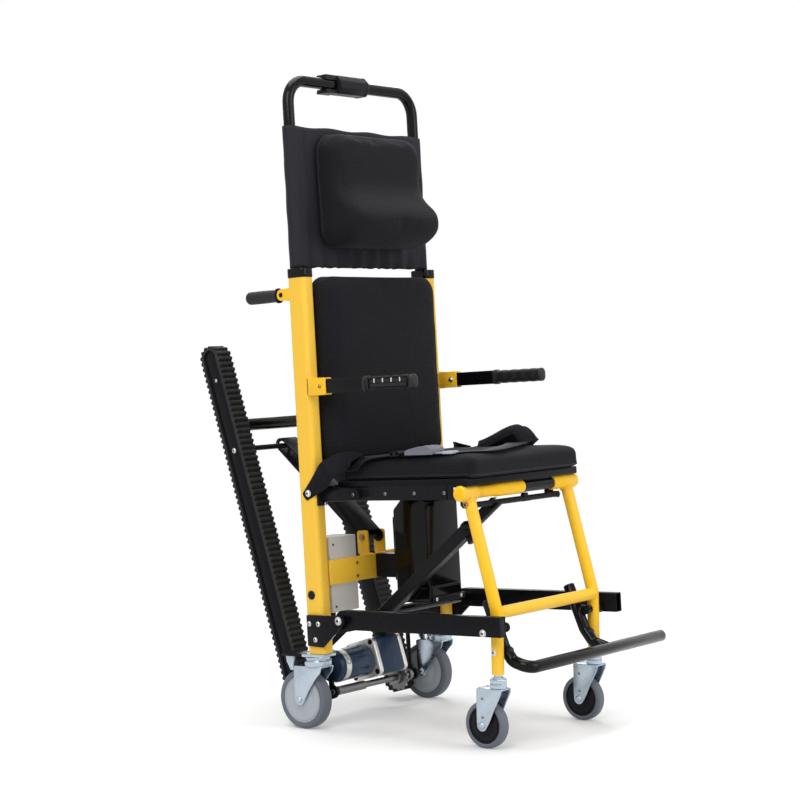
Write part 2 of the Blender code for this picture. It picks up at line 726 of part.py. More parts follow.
def make_front_frame():
    """Welded front frame: legs, crossbar and the sleeves that turn on the front tube of the seat."""
    knee_y, knee_z = LEG_KNEE
    end_y = knee_y - (LEG_END_Z - knee_z) * math.tan(LEAN)
    core = FRONT_TUBE_R / 2
    right = [(-SLEEVE_OUT, core), (-SLEEVE_OUT, TEE_R), (-TEE_END, TEE_R), (-TEE_END, NECK_R),
             (-NECK_END - NECK_R, NECK_R), (-NECK_END, CUFF_R), (RIGHT_SLEEVE_END, CUFF_R), (RIGHT_SLEEVE_END, core)]
    left = [(LEFT_SLEEVE_END, core), (LEFT_SLEEVE_END, CUFF_R), (TEE_END, CUFF_R), (TEE_END, TEE_R),
            (SLEEVE_OUT, TEE_R), (SLEEVE_OUT, core)]
    frame = rod_x(-LEG_X, LEG_X, (knee_y, knee_z - 0.003), LEG_R - 0.0002, 16)
    for side, profile in ((-1, right), (1, left)):
        x = side * LEG_X
        path = round_path([(x, *FRONT_TUBE), (x, knee_y, knee_z), (x, end_y, LEG_END_Z)], 0.06, 3)
        leg = sweep(path, circle(LEG_R, 14), (1, 0, 0))
        combine(leg, [lathe(profile, Matrix.Translation((0.0, *FRONT_TUBE)), 16)])
        combine(frame, [leg])
    cut(frame, [rod_x(-SLEEVE_OUT - 0.01, SLEEVE_OUT + 0.01, FRONT_TUBE, FRONT_TUBE_R + GAP, ROUND)])
    for side in SIDES.values():
        foot = Vector((side * LEG_X, end_y, LEG_END_Z))
        cut(frame, [rod(foot - WORLD_UP * 0.01, foot + WORLD_UP * (STEM_UP + 0.004), STEM_R + GAP)])
    node(frame, "front_frame", "yellow", "front")


def make_footrest():
    """Footrest tube: an arm on each leg and one bar that runs on past the left arm."""
    up_y, up_z = FOOT_TOP
    bar_y, bar_z = FOOT_BAR
    knee = (FOOT_PIVOT[0] + 0.006, FOOT_PIVOT[1] - 0.040)
    arm = [(up_y, up_z), knee, (knee[0] - 0.020, bar_z + 0.012), (bar_y, bar_z)]
    right = [(-FOOT_X, y, z) for y, z in arm] + [(FOOT_BAR_END, bar_y, bar_z)]
    left = [(FOOT_X, y, z) for y, z in arm]
    tube = sweep(round_path(right, 0.020, 3), circle(FOOT_R, 14), (1, 0, 0))
    combine(tube, [sweep(round_path(left, 0.020, 3), circle(FOOT_R - 0.0008, 14), (1, 0, 0))])
    rise = (FOOT_PIVOT[1] - knee[1]) / (up_z - knee[1])
    beside = (knee[0] + rise * (up_y - knee[0]), FOOT_PIVOT[1])
    for side in SIDES.values():
        ear = slab(capsule(FOOT_PIVOT, beside, FOOT_PIVOT_R + 0.002, 6), span(side, FOOT_X - 0.003, FOOT_X + 0.003))
        pin = rod_x(side * FOOT_X, side * (LEG_X - LEG_R - GAP), FOOT_PIVOT, FOOT_PIVOT_R)
        combine(tube, [ear, pin])
    node(tube, "footrest", "black_paint", "foot")


def make_base():
    """Base rails on the hinge plates, their axle, and the plates on the post feet."""
    y, z = BASE_PIVOT
    half = BASE_RAIL_H / 2
    drop = z - (LEG_PIVOT[1] + 0.0125)
    for word, side in SIDES.items():
        limits = span(side, BASE_RAIL_X, BASE_RAIL_OUT)
        outline = [(BASE_RAIL_Y1, z - drop - half), (y, z - half)]
        outline += arc((y, z), half, -75, 75, 8)
        outline += [(y, z + half), (BASE_RAIL_Y1, z - drop + half)]
        rail = slab(outline, limits)
        boss = rod_x(side * (BASE_RAIL_X + 0.004), side * (LEG_X + LEG_R + OPEN_PIVOT), LEG_PIVOT, LEG_PIVOT_R)
        head = rod_x(side * (BASE_RAIL_OUT - 0.002), side * (BASE_RAIL_OUT + BOLT_HEAD_T), LEG_PIVOT, BOLT_HEAD_R, 6)
        combine(rail, [boss, head])
        cut(rail, [rod_x(limits[0] - 0.01, limits[1] + 0.01, BASE_PIVOT, BASE_AXLE_R + GAP)])
        node(rail, "base_rail_" + word, "black_paint", "base")

        inner = POST_OUT + GAP
        plate = [(POST_REAR, HINGE_PLATE_Z0), (POST_REAR, z + HINGE_PLATE_R)]
        plate += arc(BASE_PIVOT, HINGE_PLATE_R, 90, 205, 8)
        plate += [(POST_FRONT - 0.003, HINGE_PLATE_Z0)]
        hinge = slab(plate, span(side, inner, inner + HINGE_PLATE_T))
        bolts = list(HINGE_BOLTS) + [BASE_PIVOT]
        face = inner + HINGE_PLATE_T
        for bolt in bolts:
            radius = BOLT_HEAD_R if bolt == BASE_PIVOT else 0.006
            combine(hinge, [rod_x(side * (face - 0.002), side * (face + BOLT_HEAD_T), bolt, radius, 6)])
        node(hinge, "hinge_plate_" + word, "black_paint", "chair")
    node(rod_x(-POST_OUT, POST_OUT, BASE_PIVOT, BASE_AXLE_R), "base_axle", "black_paint", "chair")


def make_brace():
    """Diagonal brace from the base axle to the catch bar, and its spring knob."""
    foot = Vector((BRACE_X, *BASE_PIVOT))
    top = Vector((BRACE_X, *CATCH_BAR))
    along = (top - foot).normalized()
    out = Vector((0.0, -along.z, along.y))
    half = BRACE_W / 2
    section = [(-half, -half), (half, -half), (half, half), (-half, half)]
    bar = sweep([foot - along * half, top + along * BRACE_OVER], section, (1, 0, 0))
    wide = CATCH_BAR_R + BRACE_NOTCH
    notch = [(-BRACE_W, -wide), (BRACE_W, -wide), (BRACE_W, wide), (-BRACE_W, wide)]
    mouth = sweep([top - along * wide, top + along * (BRACE_OVER + 0.01)], notch, (1, 0, 0))
    eye = rod_x(BRACE_X - BRACE_W, BRACE_X + BRACE_W, BASE_PIVOT, BASE_AXLE_R + GAP)
    seat = foot + along * KNOB_AT + out * half
    hole = rod(seat + out * 0.01, seat - out * (KNOB_PULL + 0.006), KNOB_STEM_R + GAP, 12)
    sleeve = Vector((BRACE_X, *FRONT_TUBE))
    clear = slab(capsule(FRONT_TUBE, tuple((sleeve + along * BRACE_W).yz), CUFF_R + BRACE_NOTCH),
                 (BRACE_X - BRACE_W, BRACE_X + BRACE_W))
    cut(bar, [mouth, eye, hole, clear])
    node(bar, "brace", "black_paint", "brace")
    body("knob", seat, "brace")
    knob = rod(seat + out * GAP, seat + out * (KNOB_L + GAP), KNOB_R * 0.8, 16, KNOB_R)
    combine(knob, [rod(seat - out * KNOB_PULL, seat + out * 0.004, KNOB_STEM_R, 12)])
    node(knob, "brace_knob", "black_plastic", "knob")


def make_middle():
    """Cross plate with its clevis, the battery on its dock, and the controller box."""
    t = PLATE_T / 2
    end = POST_IN - GAP
    right, left = PLATE_Y_RIGHT, PLATE_Y_LEFT
    outline = [(-end, right - t), (PLATE_JOG0, right - t), (PLATE_JOG1, left - t), (end, left - t),
               (end, left + t), (PLATE_JOG1 - t, left + t), (PLATE_JOG0 - t, right + t), (-end, right + t)]
    plate = slab(outline, (PLATE_Z0, PLATE_Z1), "z")
    y, z = CLEVIS_PIVOT
    inner = STRUT_W / 2 + GAP
    for side, rear in ((-1, right), (1, left)):
        ear = [(rear, PLATE_Z0 + 0.008), (rear + 0.010, PLATE_Z0 + 0.008)]
        ear += arc((y, z), CLEVIS_R, -40, 150, 8)
        ear += [(rear, PLATE_Z1 - 0.002)]
        combine(plate, [slab(ear, span(side, inner, inner + CLEVIS_T))])
    cut(plate, [rod_x(-inner - 0.02, inner + 0.02, CLEVIS_PIVOT, STRUT_PIN_R + GAP)])
    node(plate, "cross_plate", "yellow", "chair")

    case = box((-BATTERY_W / 2, BATTERY_W / 2), (BATTERY_Y0 + BATTERY_RIB, BATTERY_Y1), (BATTERY_Z0, BATTERY_Z1),
               0.005, 2)
    rib = box((-BATTERY_W / 2 + 0.012, BATTERY_W / 2 - 0.012), (BATTERY_Y0, BATTERY_Y0 + BATTERY_RIB + 0.002),
              (BATTERY_Z0 + 0.020, BATTERY_Z1 - 0.020))
    combine(case, [rib])
    node(case, "battery_case", "black_plastic", "chair")

    face = BATTERY_Y1 + GAP
    dock = box((-DOCK_W / 2, DOCK_W / 2), (face, face + DOCK_T), (DOCK_Z0, DOCK_Z1))
    web = box((DOCK_WEB_X0, DOCK_WEB_X1), (face + DOCK_T - 0.002, right - t - GAP), (DOCK_Z0, PLATE_Z1))
    combine(dock, [web])
    node(dock, "battery_dock", "black_paint", "chair")

    rear = right + t + GAP
    control = box((CONTROLLER_X0, CONTROLLER_X1), (rear, rear + CONTROLLER_D), (CONTROLLER_Z0, CONTROLLER_Z1), 0.003)
    node(control, "controller_box", "beige", "chair")


def make_arms():
    """Armrests: bracket on the post, flat bar and ridged grip on each side."""
    y, z = ARM_PIVOT
    front = POST_FRONT - GAP
    for word, side in SIDES.items():
        near = ARM_X - ARM_T / 2 - GAP
        far = ARM_X + ARM_T / 2 + GAP
        foot = box(span(side, POST_IN + 0.008, far + ARM_CHEEK_T), (front - ARM_FOOT_T, front),
                   (z - ARM_FOOT_H / 2, z + ARM_FOOT_H / 2))
        cheek = [(front - 0.002, z - ARM_FOOT_H / 2), (front - 0.002, z + ARM_FOOT_H / 2)]
        cheek += arc((y, z), ARM_H / 2, 90, 270, 8)
        combine(foot, [slab(cheek, span(side, near - ARM_CHEEK_T, near)),
                       slab(cheek, span(side, far, far + ARM_CHEEK_T))])
        combine(foot, [rod_x(side * (near - ARM_CHEEK_T - 0.003), side * (far + ARM_CHEEK_T + 0.003), ARM_PIVOT,
                             ARM_PIN_R, 12)])
        node(foot, "arm_bracket_" + word, "yellow", "chair")

        owner = "arm_body_" + word
        body(owner, (side * ARM_X, y, z), "chair")
        outline = arc((y, z), ARM_H / 2, -90, 90, 8) + [(ARM_BAR_END, z + ARM_H / 2), (ARM_BAR_END, z - ARM_H / 2)]
        bar = slab(outline, span(side, ARM_X - ARM_T / 2, ARM_X + ARM_T / 2))
        combine(bar, [rod((side * ARM_X, ARM_BAR_END + 0.006, z), (side * ARM_X, ARM_GRIP_END + 0.008, z),
                          min(ARM_SPIGOT_R, ARM_T / 2 - 0.0005))])
        cut(bar, [rod_x(side * (near - 0.01), side * (far + 0.01), ARM_PIVOT, ARM_PIN_R + GAP, 12)])
        node(bar, "arm_" + word, "black_paint", owner)

        bore = min(ARM_SPIGOT_R, ARM_T / 2 - 0.0005) + GAP
        start = ARM_BAR_END - GAP
        length = start - ARM_GRIP_END
        profile = [(0.0, bore), (0.0, ARM_GRIP_R)]
        for k in range(GRIP_RIDGES):
            a = length * (k + 0.35) / GRIP_RIDGES
            b = length * (k + 0.75) / GRIP_RIDGES
            profile += [(a, ARM_GRIP_R), (a + 0.001, ARM_GRIP_R - GRIP_GROOVE), (b - 0.001, ARM_GRIP_R - GRIP_GROOVE),
                        (b, ARM_GRIP_R)]
        profile += [(length - 0.003, ARM_GRIP_R), (length, ARM_GRIP_R - 0.003), (length, bore)]
        forward = Matrix.Translation((side * ARM_X, start, z)) @ Matrix.Rotation(math.radians(-90), 4, "Z")
        node(lathe(profile, forward, 12), "arm_grip_" + word, "rubber", owner)


def make_rear_grips():
    """Carrying grips that flip up behind the posts."""
    y, z = POST_REAR + REAR_LUG_REACH, REAR_LUG_Z
    half = POST_W / 2 - REAR_LUG_T - 0.003 - GAP
    for word, side in SIDES.items():
        x = side * POST_X
        owner = "grip_body_" + word
        body(owner, (x, y, z), "chair")
        tongue = arc((y, z), REAR_LUG_R - 0.002, 90, 270, 8)
        tongue += [(y + REAR_GRIP_NECK + 0.004, z - REAR_LUG_R + 0.002), (y + REAR_GRIP_NECK + 0.004, z + REAR_LUG_R - 0.002)]
        grip = slab(tongue, (x - half, x + half))
        start = y + REAR_GRIP_NECK
        path = [(x, start, z), (x, REAR_GRIP_END - 0.004, z)]
        combine(grip, [rod(path[0], path[1], REAR_GRIP_R)])
        combine(grip, [rod((x, REAR_GRIP_END - 0.007, z), (x, REAR_GRIP_END, z), REAR_GRIP_R - 0.001, 14,
                           REAR_GRIP_R - 0.004)])
        cut(grip, [rod_x(x - POST_W, x + POST_W, (y, z), 0.004 + GAP)])
        node(grip, "rear_grip_" + word, "black_plastic", owner)


def make_drive():
    """Cross beam with the motor saddle and the shaft hangers, the gear motor and the drive shaft."""
    reach = POST_IN - GAP
    y, z = SHAFT
    my, mz = MOTOR
    w = GEARBOX_W / 2
    beam = box((-reach, reach), (-BEAM_D / 2, BEAM_D / 2), (BEAM_Z0, BEAM_Z1))
    saddle = box((SADDLE_X0, SADDLE_X1), (BEAM_D / 2 - 0.010, SADDLE_Y1), (mz + w + GAP, BEAM_Z0 + 0.008))
    heel = y + SHAFT_R + 0.006
    hanger = [(HANGER_Y0, BEAM_Z0 + 0.006), (HANGER_Y1, BEAM_Z0 + 0.006), (HANGER_Y1, z + SHAFT_COVER),
              (heel, z + SHAFT_COVER), (heel, z - SHAFT_BED), (HANGER_Y1, z - SHAFT_BED), (HANGER_Y0, z + SHAFT_COVER)]
    combine(beam, [saddle] + [slab(hanger, span(side, HANGER_X, HANGER_X + HANGER_T)) for side in SIDES.values()])
    cut(beam, [rod_x(-HANGER_X - 0.02, HANGER_X + 0.02, SHAFT, SHAFT_R + GAP)])
    node(beam, "axle_beam", "black_paint", "chair")

    motor = rod_x(MOTOR_X0, FLANGE_X0 - GAP, MOTOR, MOTOR_R, 24)
    combine(motor, [rod_x(MOTOR_X0 - 0.006, MOTOR_X0 + 0.001, MOTOR, 0.012, 16)])
    node(motor, "motor", "blue", "chair")
    gear = box((FLANGE_X0, GEARBOX_X1), (my - w, my + w), (mz - w, mz + w), 0.004)
    node(gear, "gearbox", "blue", "chair")

    end = TRACK_IN + 0.001
    shaft = rod_x(-end, end, SHAFT, SHAFT_R)
    teeth = []
    for k in range(SPROCKET_TEETH):
        for share, radius in ((0.0, 0.87), (0.25, 1.0), (0.5, 1.0), (0.75, 0.87)):
            angle = 2 * math.pi * (k + share) / SPROCKET_TEETH
            teeth.append((y + SPROCKET_R * radius * math.cos(angle), z + SPROCKET_R * radius * math.sin(angle)))
    combine(shaft, [slab(teeth, (SPROCKET_X, SPROCKET_X + SPROCKET_T))])
    node(shaft, "drive_shaft", "zinc", "shaft")


def belt_outline(radius, step, tread):
    """Loop round both pulleys, with tread blocks standing on it if tread is not zero."""
    low, high = Vector(PULLEY_LOW), Vector(PULLEY_HIGH)
    along = high - low
    run = along.length
    unit = along / run
    normal = Vector((unit.y, -unit.x))
    length = 2 * run + 2 * math.pi * radius
    count = max(8, round(length / step))
    points = []
    shares = (0.0, 0.12, 0.50, 0.62) if tread else (0.0,)
    for k in range(count):
        for share in shares:
            s = length * (k + share) / count
            lift = tread if share in (0.12, 0.50) else 0.0
            if s < run:
                spot = low + unit * s + normal * (radius + lift)
            elif s < run + math.pi * radius:
                angle = (s - run) / radius
                spot = high + (normal * math.cos(angle) + unit * math.sin(angle)) * (radius + lift)
            elif s < 2 * run + math.pi * radius:
                spot = high - unit * (s - run - math.pi * radius) - normal * (radius + lift)
            else:
                angle = (s - 2 * run - math.pi * radius) / radius
                spot = low - (normal * math.cos(angle) + unit * math.sin(angle)) * (radius + lift)
            points.append((spot.x, spot.y))
    return points


def make_tracks():
    """Crawler tracks with their belts, cross tube and rod, folding about the drive shaft."""
    inner = TRACK_IN
    outer = TRACK_X + BELT_W / 2 - TRACK_SUNK
    hollow = BELT_R - BELT_T
    for word, side in SIDES.items():
        frame = slab(capsule(PULLEY_LOW, PULLEY_HIGH, hollow - GAP, 10), span(side, inner, outer))
        link = slab(capsule(SHAFT, PULLEY_LOW, LINK_R, 8), span(side, inner - LINK_T + 0.001, inner + 0.001))
        combine(frame, [link])
        cut(frame, [rod_x(side * (inner - 0.02), side * (inner + 0.01), SHAFT, SHAFT_R + GAP)])
        node(frame, "track_frame_" + word, "black_paint", "tracks")
        belt = slab(belt_outline(BELT_R - BELT_TREAD, BELT_PITCH, BELT_TREAD),
                    span(side, TRACK_X - BELT_W / 2, TRACK_X + BELT_W / 2))
        cut(belt, [slab(capsule(PULLEY_LOW, PULLEY_HIGH, hollow, 10), span(side, inner - 0.02, outer + 0.02))])
        node(belt, "track_belt_" + word, "rubber", "tracks")
    reach = inner - GAP
    node(rod_x(-reach, reach, CROSS_TUBE, CROSS_TUBE_R, ROUND), "track_cross_tube", "black_paint", "tracks")
    node(rod_x(-reach, reach, TRACK_ROD, TRACK_ROD_R, 16), "track_rod", "black_paint", "tracks")


def make_strut():
    """Strut from the clevis to the track rod, which slides in its slot."""
    low = Vector((0.0, *CLEVIS_PIVOT))
    high = Vector((0.0, *TRACK_ROD))
    along = (high - low).normalized()
    outline = capsule(CLEVIS_PIVOT, tuple((high + along * (STRUT_OVER - STRUT_D / 2)).yz), STRUT_D / 2, 8)
    strut = slab(outline, (-STRUT_W / 2, STRUT_W / 2))
    wide = TRACK_ROD_R + STRUT_PLAY
    start = high - along * (STRUT_SLOT - wide)
    slot = capsule(tuple(start.yz), TRACK_ROD, wide, 6)
    cut(strut, [slab(slot, (-STRUT_W, STRUT_W))])
    ear = STRUT_W / 2 + GAP + CLEVIS_T
    combine(strut, [rod_x(-ear - 0.003, ear + 0.003, CLEVIS_PIVOT, STRUT_PIN_R, 16)])
    node(strut, "track_strut", "black_paint", "strut")


def wheel(name, owner, place, radius, width, hub_radius, boss, material):
    """Hub and tyre of a caster wheel, turned about the local X axis of place."""
    half = width / 2
    hub_half = half - 0.002
    bore = AXLE_R + GAP
    side = [(-boss, bore), (-boss, 0.011), (-hub_half + 0.003, 0.012), (-hub_half, hub_radius - 0.006),
            (-hub_half, hub_radius)]
    profile = side + [(-a, r) for a, r in reversed(side)]
    node(lathe(profile, place, ROUND), name + "_hub", material, owner, local=True)
    seat = hub_radius + GAP
    side = [(-half + 0.001, seat), (-half, radius - 0.007), (-half + 0.0015, radius - 0.002), (-half + 0.005, radius)]
    profile = side + [(-a, r) for a, r in reversed(side)]
    node(lathe(profile, place, ROUND), name + "_tyre", "grey_tyre", owner, local=True)


def fork(crown, axle, plate_x, thick):
    """Pressed fork round a wheel: a crown plate and two broad cheeks narrowing to the axle, about x = 0."""
    top, low = crown
    y, z = axle
    rise = top - z
    outline = [(y - FORK_NOSE, top), (y + FORK_BACK, top), (y + FORK_BACK, z + 0.006)]
    outline += arc(axle, 0.012, 10, -160, 6)
    outline += [(y - 0.021, z + 0.16 * rise), (y - 0.031, z + 0.45 * rise), (y - FORK_NOSE + 0.003, z + 0.82 * rise)]
    reach = plate_x + 0.6 * thick
    plate = box((-reach, reach), (y - FORK_NOSE + 0.0008, y + FORK_BACK - 0.0008), (low, top - 0.0005))
    combine(plate, [slab(outline, span(side, plate_x, plate_x + thick)) for side in (-1, 1)])
    return plate


def make_rear_casters():
    """Rear casters, held straight under a plate on each post's foot."""
    axle_z = (REAR_WHEEL_R / math.cos(LEAN)) + ground_height(REAR_AXLE_Y)
    axle = (REAR_AXLE_Y, axle_z)
    plate_x = REAR_WHEEL_W / 2 + FORK_SIDE
    plate_top = POST_Z0 - GAP
    plate_low = plate_top - REAR_PLATE_T
    for word, side in SIDES.items():
        shape = fork((REAR_CROWN_Z, REAR_CROWN_Z - 0.004), axle, plate_x, FORK_T)
        head = rod((0.0, REAR_STEM_Y, plate_low + 0.002), (0.0, REAR_STEM_Y, REAR_CROWN_Z - 0.003), REAR_HEAD_R)
        pin = rod_x(-plate_x - FORK_T - 0.002, plate_x + FORK_T + 0.002, axle, AXLE_R, 12)
        combine(shape, [head, pin])
        placed(shape, Matrix.Translation((side * POST_X, 0.0, 0.0)))
        mount = box(span(side, REAR_PLATE_X, POST_OUT + REAR_PLATE_OVER), (POST_FRONT, REAR_PLATE_Y1),
                    (plate_low, plate_top))
        combine(shape, [mount])
        node(shape, "rear_fork_" + word, "zinc", "chair")
        owner = "rear_wheel_" + word
        body(owner, (side * POST_X, *axle), "chair")
        wheel("rear_" + word, owner, Matrix.Identity(4), REAR_WHEEL_R, REAR_WHEEL_W, REAR_HUB_R, plate_x - GAP,
              "grey_plastic")


def make_front_casters():
    """Front swivel casters, upright on the floor under the legs."""
    end_y = LEG_KNEE[0] - (LEG_END_Z - LEG_KNEE[1]) * math.tan(LEAN)
    leg_end = Vector((0.0, end_y, LEG_END_Z))
    height = leg_end.dot(WORLD_UP) + GROUND_DROP * math.cos(LEAN)
    floor = leg_end - WORLD_UP * height
    plate_x = FRONT_WHEEL_W / 2 + FORK_SIDE
    top = height - GAP - NECK_H - NUT_H
    axle = (FRONT_TRAIL, FRONT_WHEEL_R)
    for word, side in SIDES.items():
        owner = "front_swivel_" + word
        body(owner, (side * LEG_X, floor.y, floor.z), "front", LEAN)
        shape = fork((top, top - 0.004), axle, plate_x, FORK_T)
        nut = rod((0.0, 0.0, top - 0.002), (0.0, 0.0, top + NUT_H), NUT_R, 6)
        neck = rod((0.0, 0.0, top + NUT_H - 0.002), (0.0, 0.0, height - GAP), CASTER_NECK_R)
        stem = rod((0.0, 0.0, height - 0.004), (0.0, 0.0, height + STEM_UP), STEM_R)
        pin = rod_x(-plate_x - FORK_T - 0.002, plate_x + FORK_T + 0.002, axle, AXLE_R, 12)
        combine(shape, [nut, neck, stem, pin])
        turn = Matrix.Rotation(FRONT_SWIVEL[word], 4, "Z")
        node(placed(shape, turn), "front_fork_" + word, "zinc", owner, local=True)
        spin = "front_wheel_" + word
        body(spin, (side * LEG_X, floor.y, floor.z), owner)
        hub = turn @ Vector((0.0, *axle))
        bodies[spin]["empty"].location = hub
        bodies[spin]["empty"].rotation_euler.z = FRONT_SWIVEL[word]
        wheel("front_" + word, spin, Matrix.Identity(4), FRONT_WHEEL_R, FRONT_WHEEL_W, FRONT_HUB_R, plate_x - GAP,
              "black_plastic")


def make_lap_belt():
    """Lap belt from post to post, lying over the seat cushion, and its buckle near the right edge."""
    top = SEAT_TOP - 2 * GAP
    y, z = SEAT_PIVOT
    out = POST_OUT + BELT_STRAP_T / 2 + GAP
    edge = SEAT_W / 2
    anchor = [(out, y + 0.113, z + 0.004), (out, y + 0.074, z + 0.033), (out, y + 0.056, z + 0.052),
              (edge + 0.002, y + 0.030, z + 0.080), (edge - 0.010, y - 0.004, top + 0.003)]
    right = [(-a, b, c) for a, b, c in anchor]
    right += [(-edge + 0.032, y - 0.090, top), (-edge + 0.036, y - 0.200, top)]
    middle = [(-edge + 0.090, y - 0.262, top), (-0.020, y - 0.252, top + 0.003), (0.050, y - 0.232, top + 0.006)]
    left = [(edge - 0.060, y - 0.150, top + 0.002), (edge - 0.024, y - 0.050, top + 0.002)] + anchor[::-1]
    path = smooth_path(right + middle + left)
    half, t = BELT_STRAP_W / 2, BELT_STRAP_T / 2
    bm = bmesh.new()
    rings = []
    for i, point in enumerate(path):
        tangent = path[min(i + 1, len(path) - 1)] - path[max(i - 1, 0)]
        lie = min(1.0, max(0.0, (edge + 0.012 - abs(point.x)) / 0.030))
        if lie == 0.0:
            tangent.x = 0.0
        tangent.normalize()
        face = Vector((math.copysign(1.0 - lie, point.x), 0.0, lie)).normalized()
        face = (face - tangent * face.dot(tangent)).normalized()
        across = tangent.cross(face)
        rings.append([bm.verts.new(point + across * a + face * b) for a, b in ((-half, -t), (half, -t), (half, t), (-half, t))])
    for ring, after in zip(rings, rings[1:]):
        for i in range(4):
            j = (i + 1) % 4
            bm.faces.new((ring[i], ring[j], after[j], after[i]))
    bm.faces.new(rings[0])
    bm.faces.new(rings[-1])
    node(link_object("strap", bm), "seat_belt", "fabric", "seat")
    a, b = Vector(right[-2]), Vector(right[-1])
    lift = Vector((0.0, 0.0, t + GAP))
    spot = (a + b) / 2 + lift
    buckle = box((spot.x - BUCKLE_W / 2, spot.x + BUCKLE_W / 2), (spot.y - BUCKLE_L / 2, spot.y + BUCKLE_L / 2),
                 (spot.z, spot.z + BUCKLE_T), 0.003)
    node(buckle, "belt_buckle", "grey_plastic", "seat")


make_posts()
make_handle()
make_head_panel()
make_cushions()
make_seat_frame()
make_seat_brackets()
make_front_frame()
make_footrest()
make_base()
make_brace()
make_middle()
make_arms()
make_rear_grips()
make_drive()
make_tracks()
make_strut()
make_rear_casters()
make_front_casters()
make_lap_belt()

# Stand the chair on the origin: its box is centred there, with its lowest point on the floor
bpy.context.view_layer.update()
corners = []
for piece in bpy.context.scene.objects:
    if piece.type == "MESH":
        corners += [piece.matrix_world @ vert.co for vert in piece.data.vertices]
low = Vector([min(c[i] for c in corners) for i in range(3)])
high = Vector([max(c[i] for c in corners) for i in range(3)])
bodies["chair"]["empty"].location = (-(low.x + high.x) / 2, -(low.y + high.y) / 2, -low.z)
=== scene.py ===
"""Looks of the tracked stair climbing wheelchair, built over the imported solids, in metres with Z up.

The pieces are drawn in the upright frame of the solids: X to the sitter's left, Y to the rear, Z along the
back posts, the origin on the ground between the posts. CHAIR then leans them back, as the chair stands on its
casters.
"""

import json
import math

import bmesh
import bpy
from mathutils import Matrix, Vector
from mathutils.bvhtree import BVHTree


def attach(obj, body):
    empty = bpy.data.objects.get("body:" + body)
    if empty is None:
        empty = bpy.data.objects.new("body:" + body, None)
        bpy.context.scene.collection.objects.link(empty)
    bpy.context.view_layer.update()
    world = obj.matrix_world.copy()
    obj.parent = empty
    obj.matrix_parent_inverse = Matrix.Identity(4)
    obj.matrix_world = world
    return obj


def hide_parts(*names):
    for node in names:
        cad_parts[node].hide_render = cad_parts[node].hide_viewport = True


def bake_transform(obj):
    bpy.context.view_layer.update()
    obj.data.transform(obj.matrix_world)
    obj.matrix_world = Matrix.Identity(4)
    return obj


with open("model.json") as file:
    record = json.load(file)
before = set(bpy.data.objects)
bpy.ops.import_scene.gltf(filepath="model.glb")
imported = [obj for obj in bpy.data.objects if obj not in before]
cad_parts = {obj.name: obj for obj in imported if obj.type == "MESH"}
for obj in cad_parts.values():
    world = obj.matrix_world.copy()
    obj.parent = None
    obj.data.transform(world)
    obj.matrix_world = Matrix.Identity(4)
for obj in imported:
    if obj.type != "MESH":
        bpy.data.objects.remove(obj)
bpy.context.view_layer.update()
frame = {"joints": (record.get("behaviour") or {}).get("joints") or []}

# General: TIP is the radius at which a turned shape closes, SHARP the angle from which an edge looks sharp
LEAN = math.radians(2.2)
GAP = 0.0003
SIDES = {"right": -1, "left": 1}
TIP = 0.0001
SHARP = math.radians(38.0)

# Posts, handle and head panel
POST_X = 0.207
POST_W = 0.034
POST_D = 0.046
POST_Z0 = 0.158
POST_Z1 = 0.950
POST_CORNER = 0.0095
POST_PLUG = (0.0025, 0.2815)
CAP_H = 0.0167
REAR_LUG_Z = 0.914
REAR_LUG_Y = 0.045
REAR_LUG_R = 0.012
HANDLE_R = 0.0125
HANDLE_Y = 0.006
HANDLE_Z0 = 0.70
HANDLE_Z1 = 1.365
HANDLE_BEND = 0.05
CONTROL_X0 = -0.093
CONTROL_X1 = 0.036
CONTROL_D = 0.046
CONTROL_H = 0.040
WING_X1 = -0.058
ROCKER_X = -0.0105
ROCKER_W = 0.025
PANEL_Z0 = 0.9673
PANEL_H = 0.298
PANEL_FRONT = -0.0093
PANEL_T = 0.0012
PANEL_SEAM = 0.030
SLEEVE_R = 0.0153
PLEAT_PITCH = 0.046
PLEAT_DEPTH = 0.004
WEAVE_PITCH = 0.0016

# Cushions: a pad is drawn in by SWELL before it is swollen, and no point of it moves further than SWELL_REACH
HEADREST_W = 0.32
HEADREST_H = 0.262
HEADREST_LIFT = 0.032
HEADREST_T = 0.048
HEADREST_CORNER = 0.048
NECK_ROLL = 0.048
BACKREST_W = 0.3794
BACKREST_OVER = 0.007
BACKREST_SAG = 0.0055
BACKREST_TUCK = 0.022
BACKREST_H = 0.382
BACKREST_T = 0.055
BACKREST_CORNER = 0.036
VALANCE_X = 0.186
VALANCE_Z0 = 0.530
SEAT_W = 0.390
SEAT_Y0 = -0.060
SEAT_L = 0.358
SEAT_T = 0.0415
SEAT_CORNER = 0.018
CROWN = 0.006
HEADREST_SWELL = 0.005
SWELL = 0.003
HEADREST_REACH = 0.006
SWELL_REACH = 0.0045
SWELL_FRAMES = 20
SWELL_PRESSURE = 4.0
VOXEL = 0.006
MESH_PITCH = 0.0044

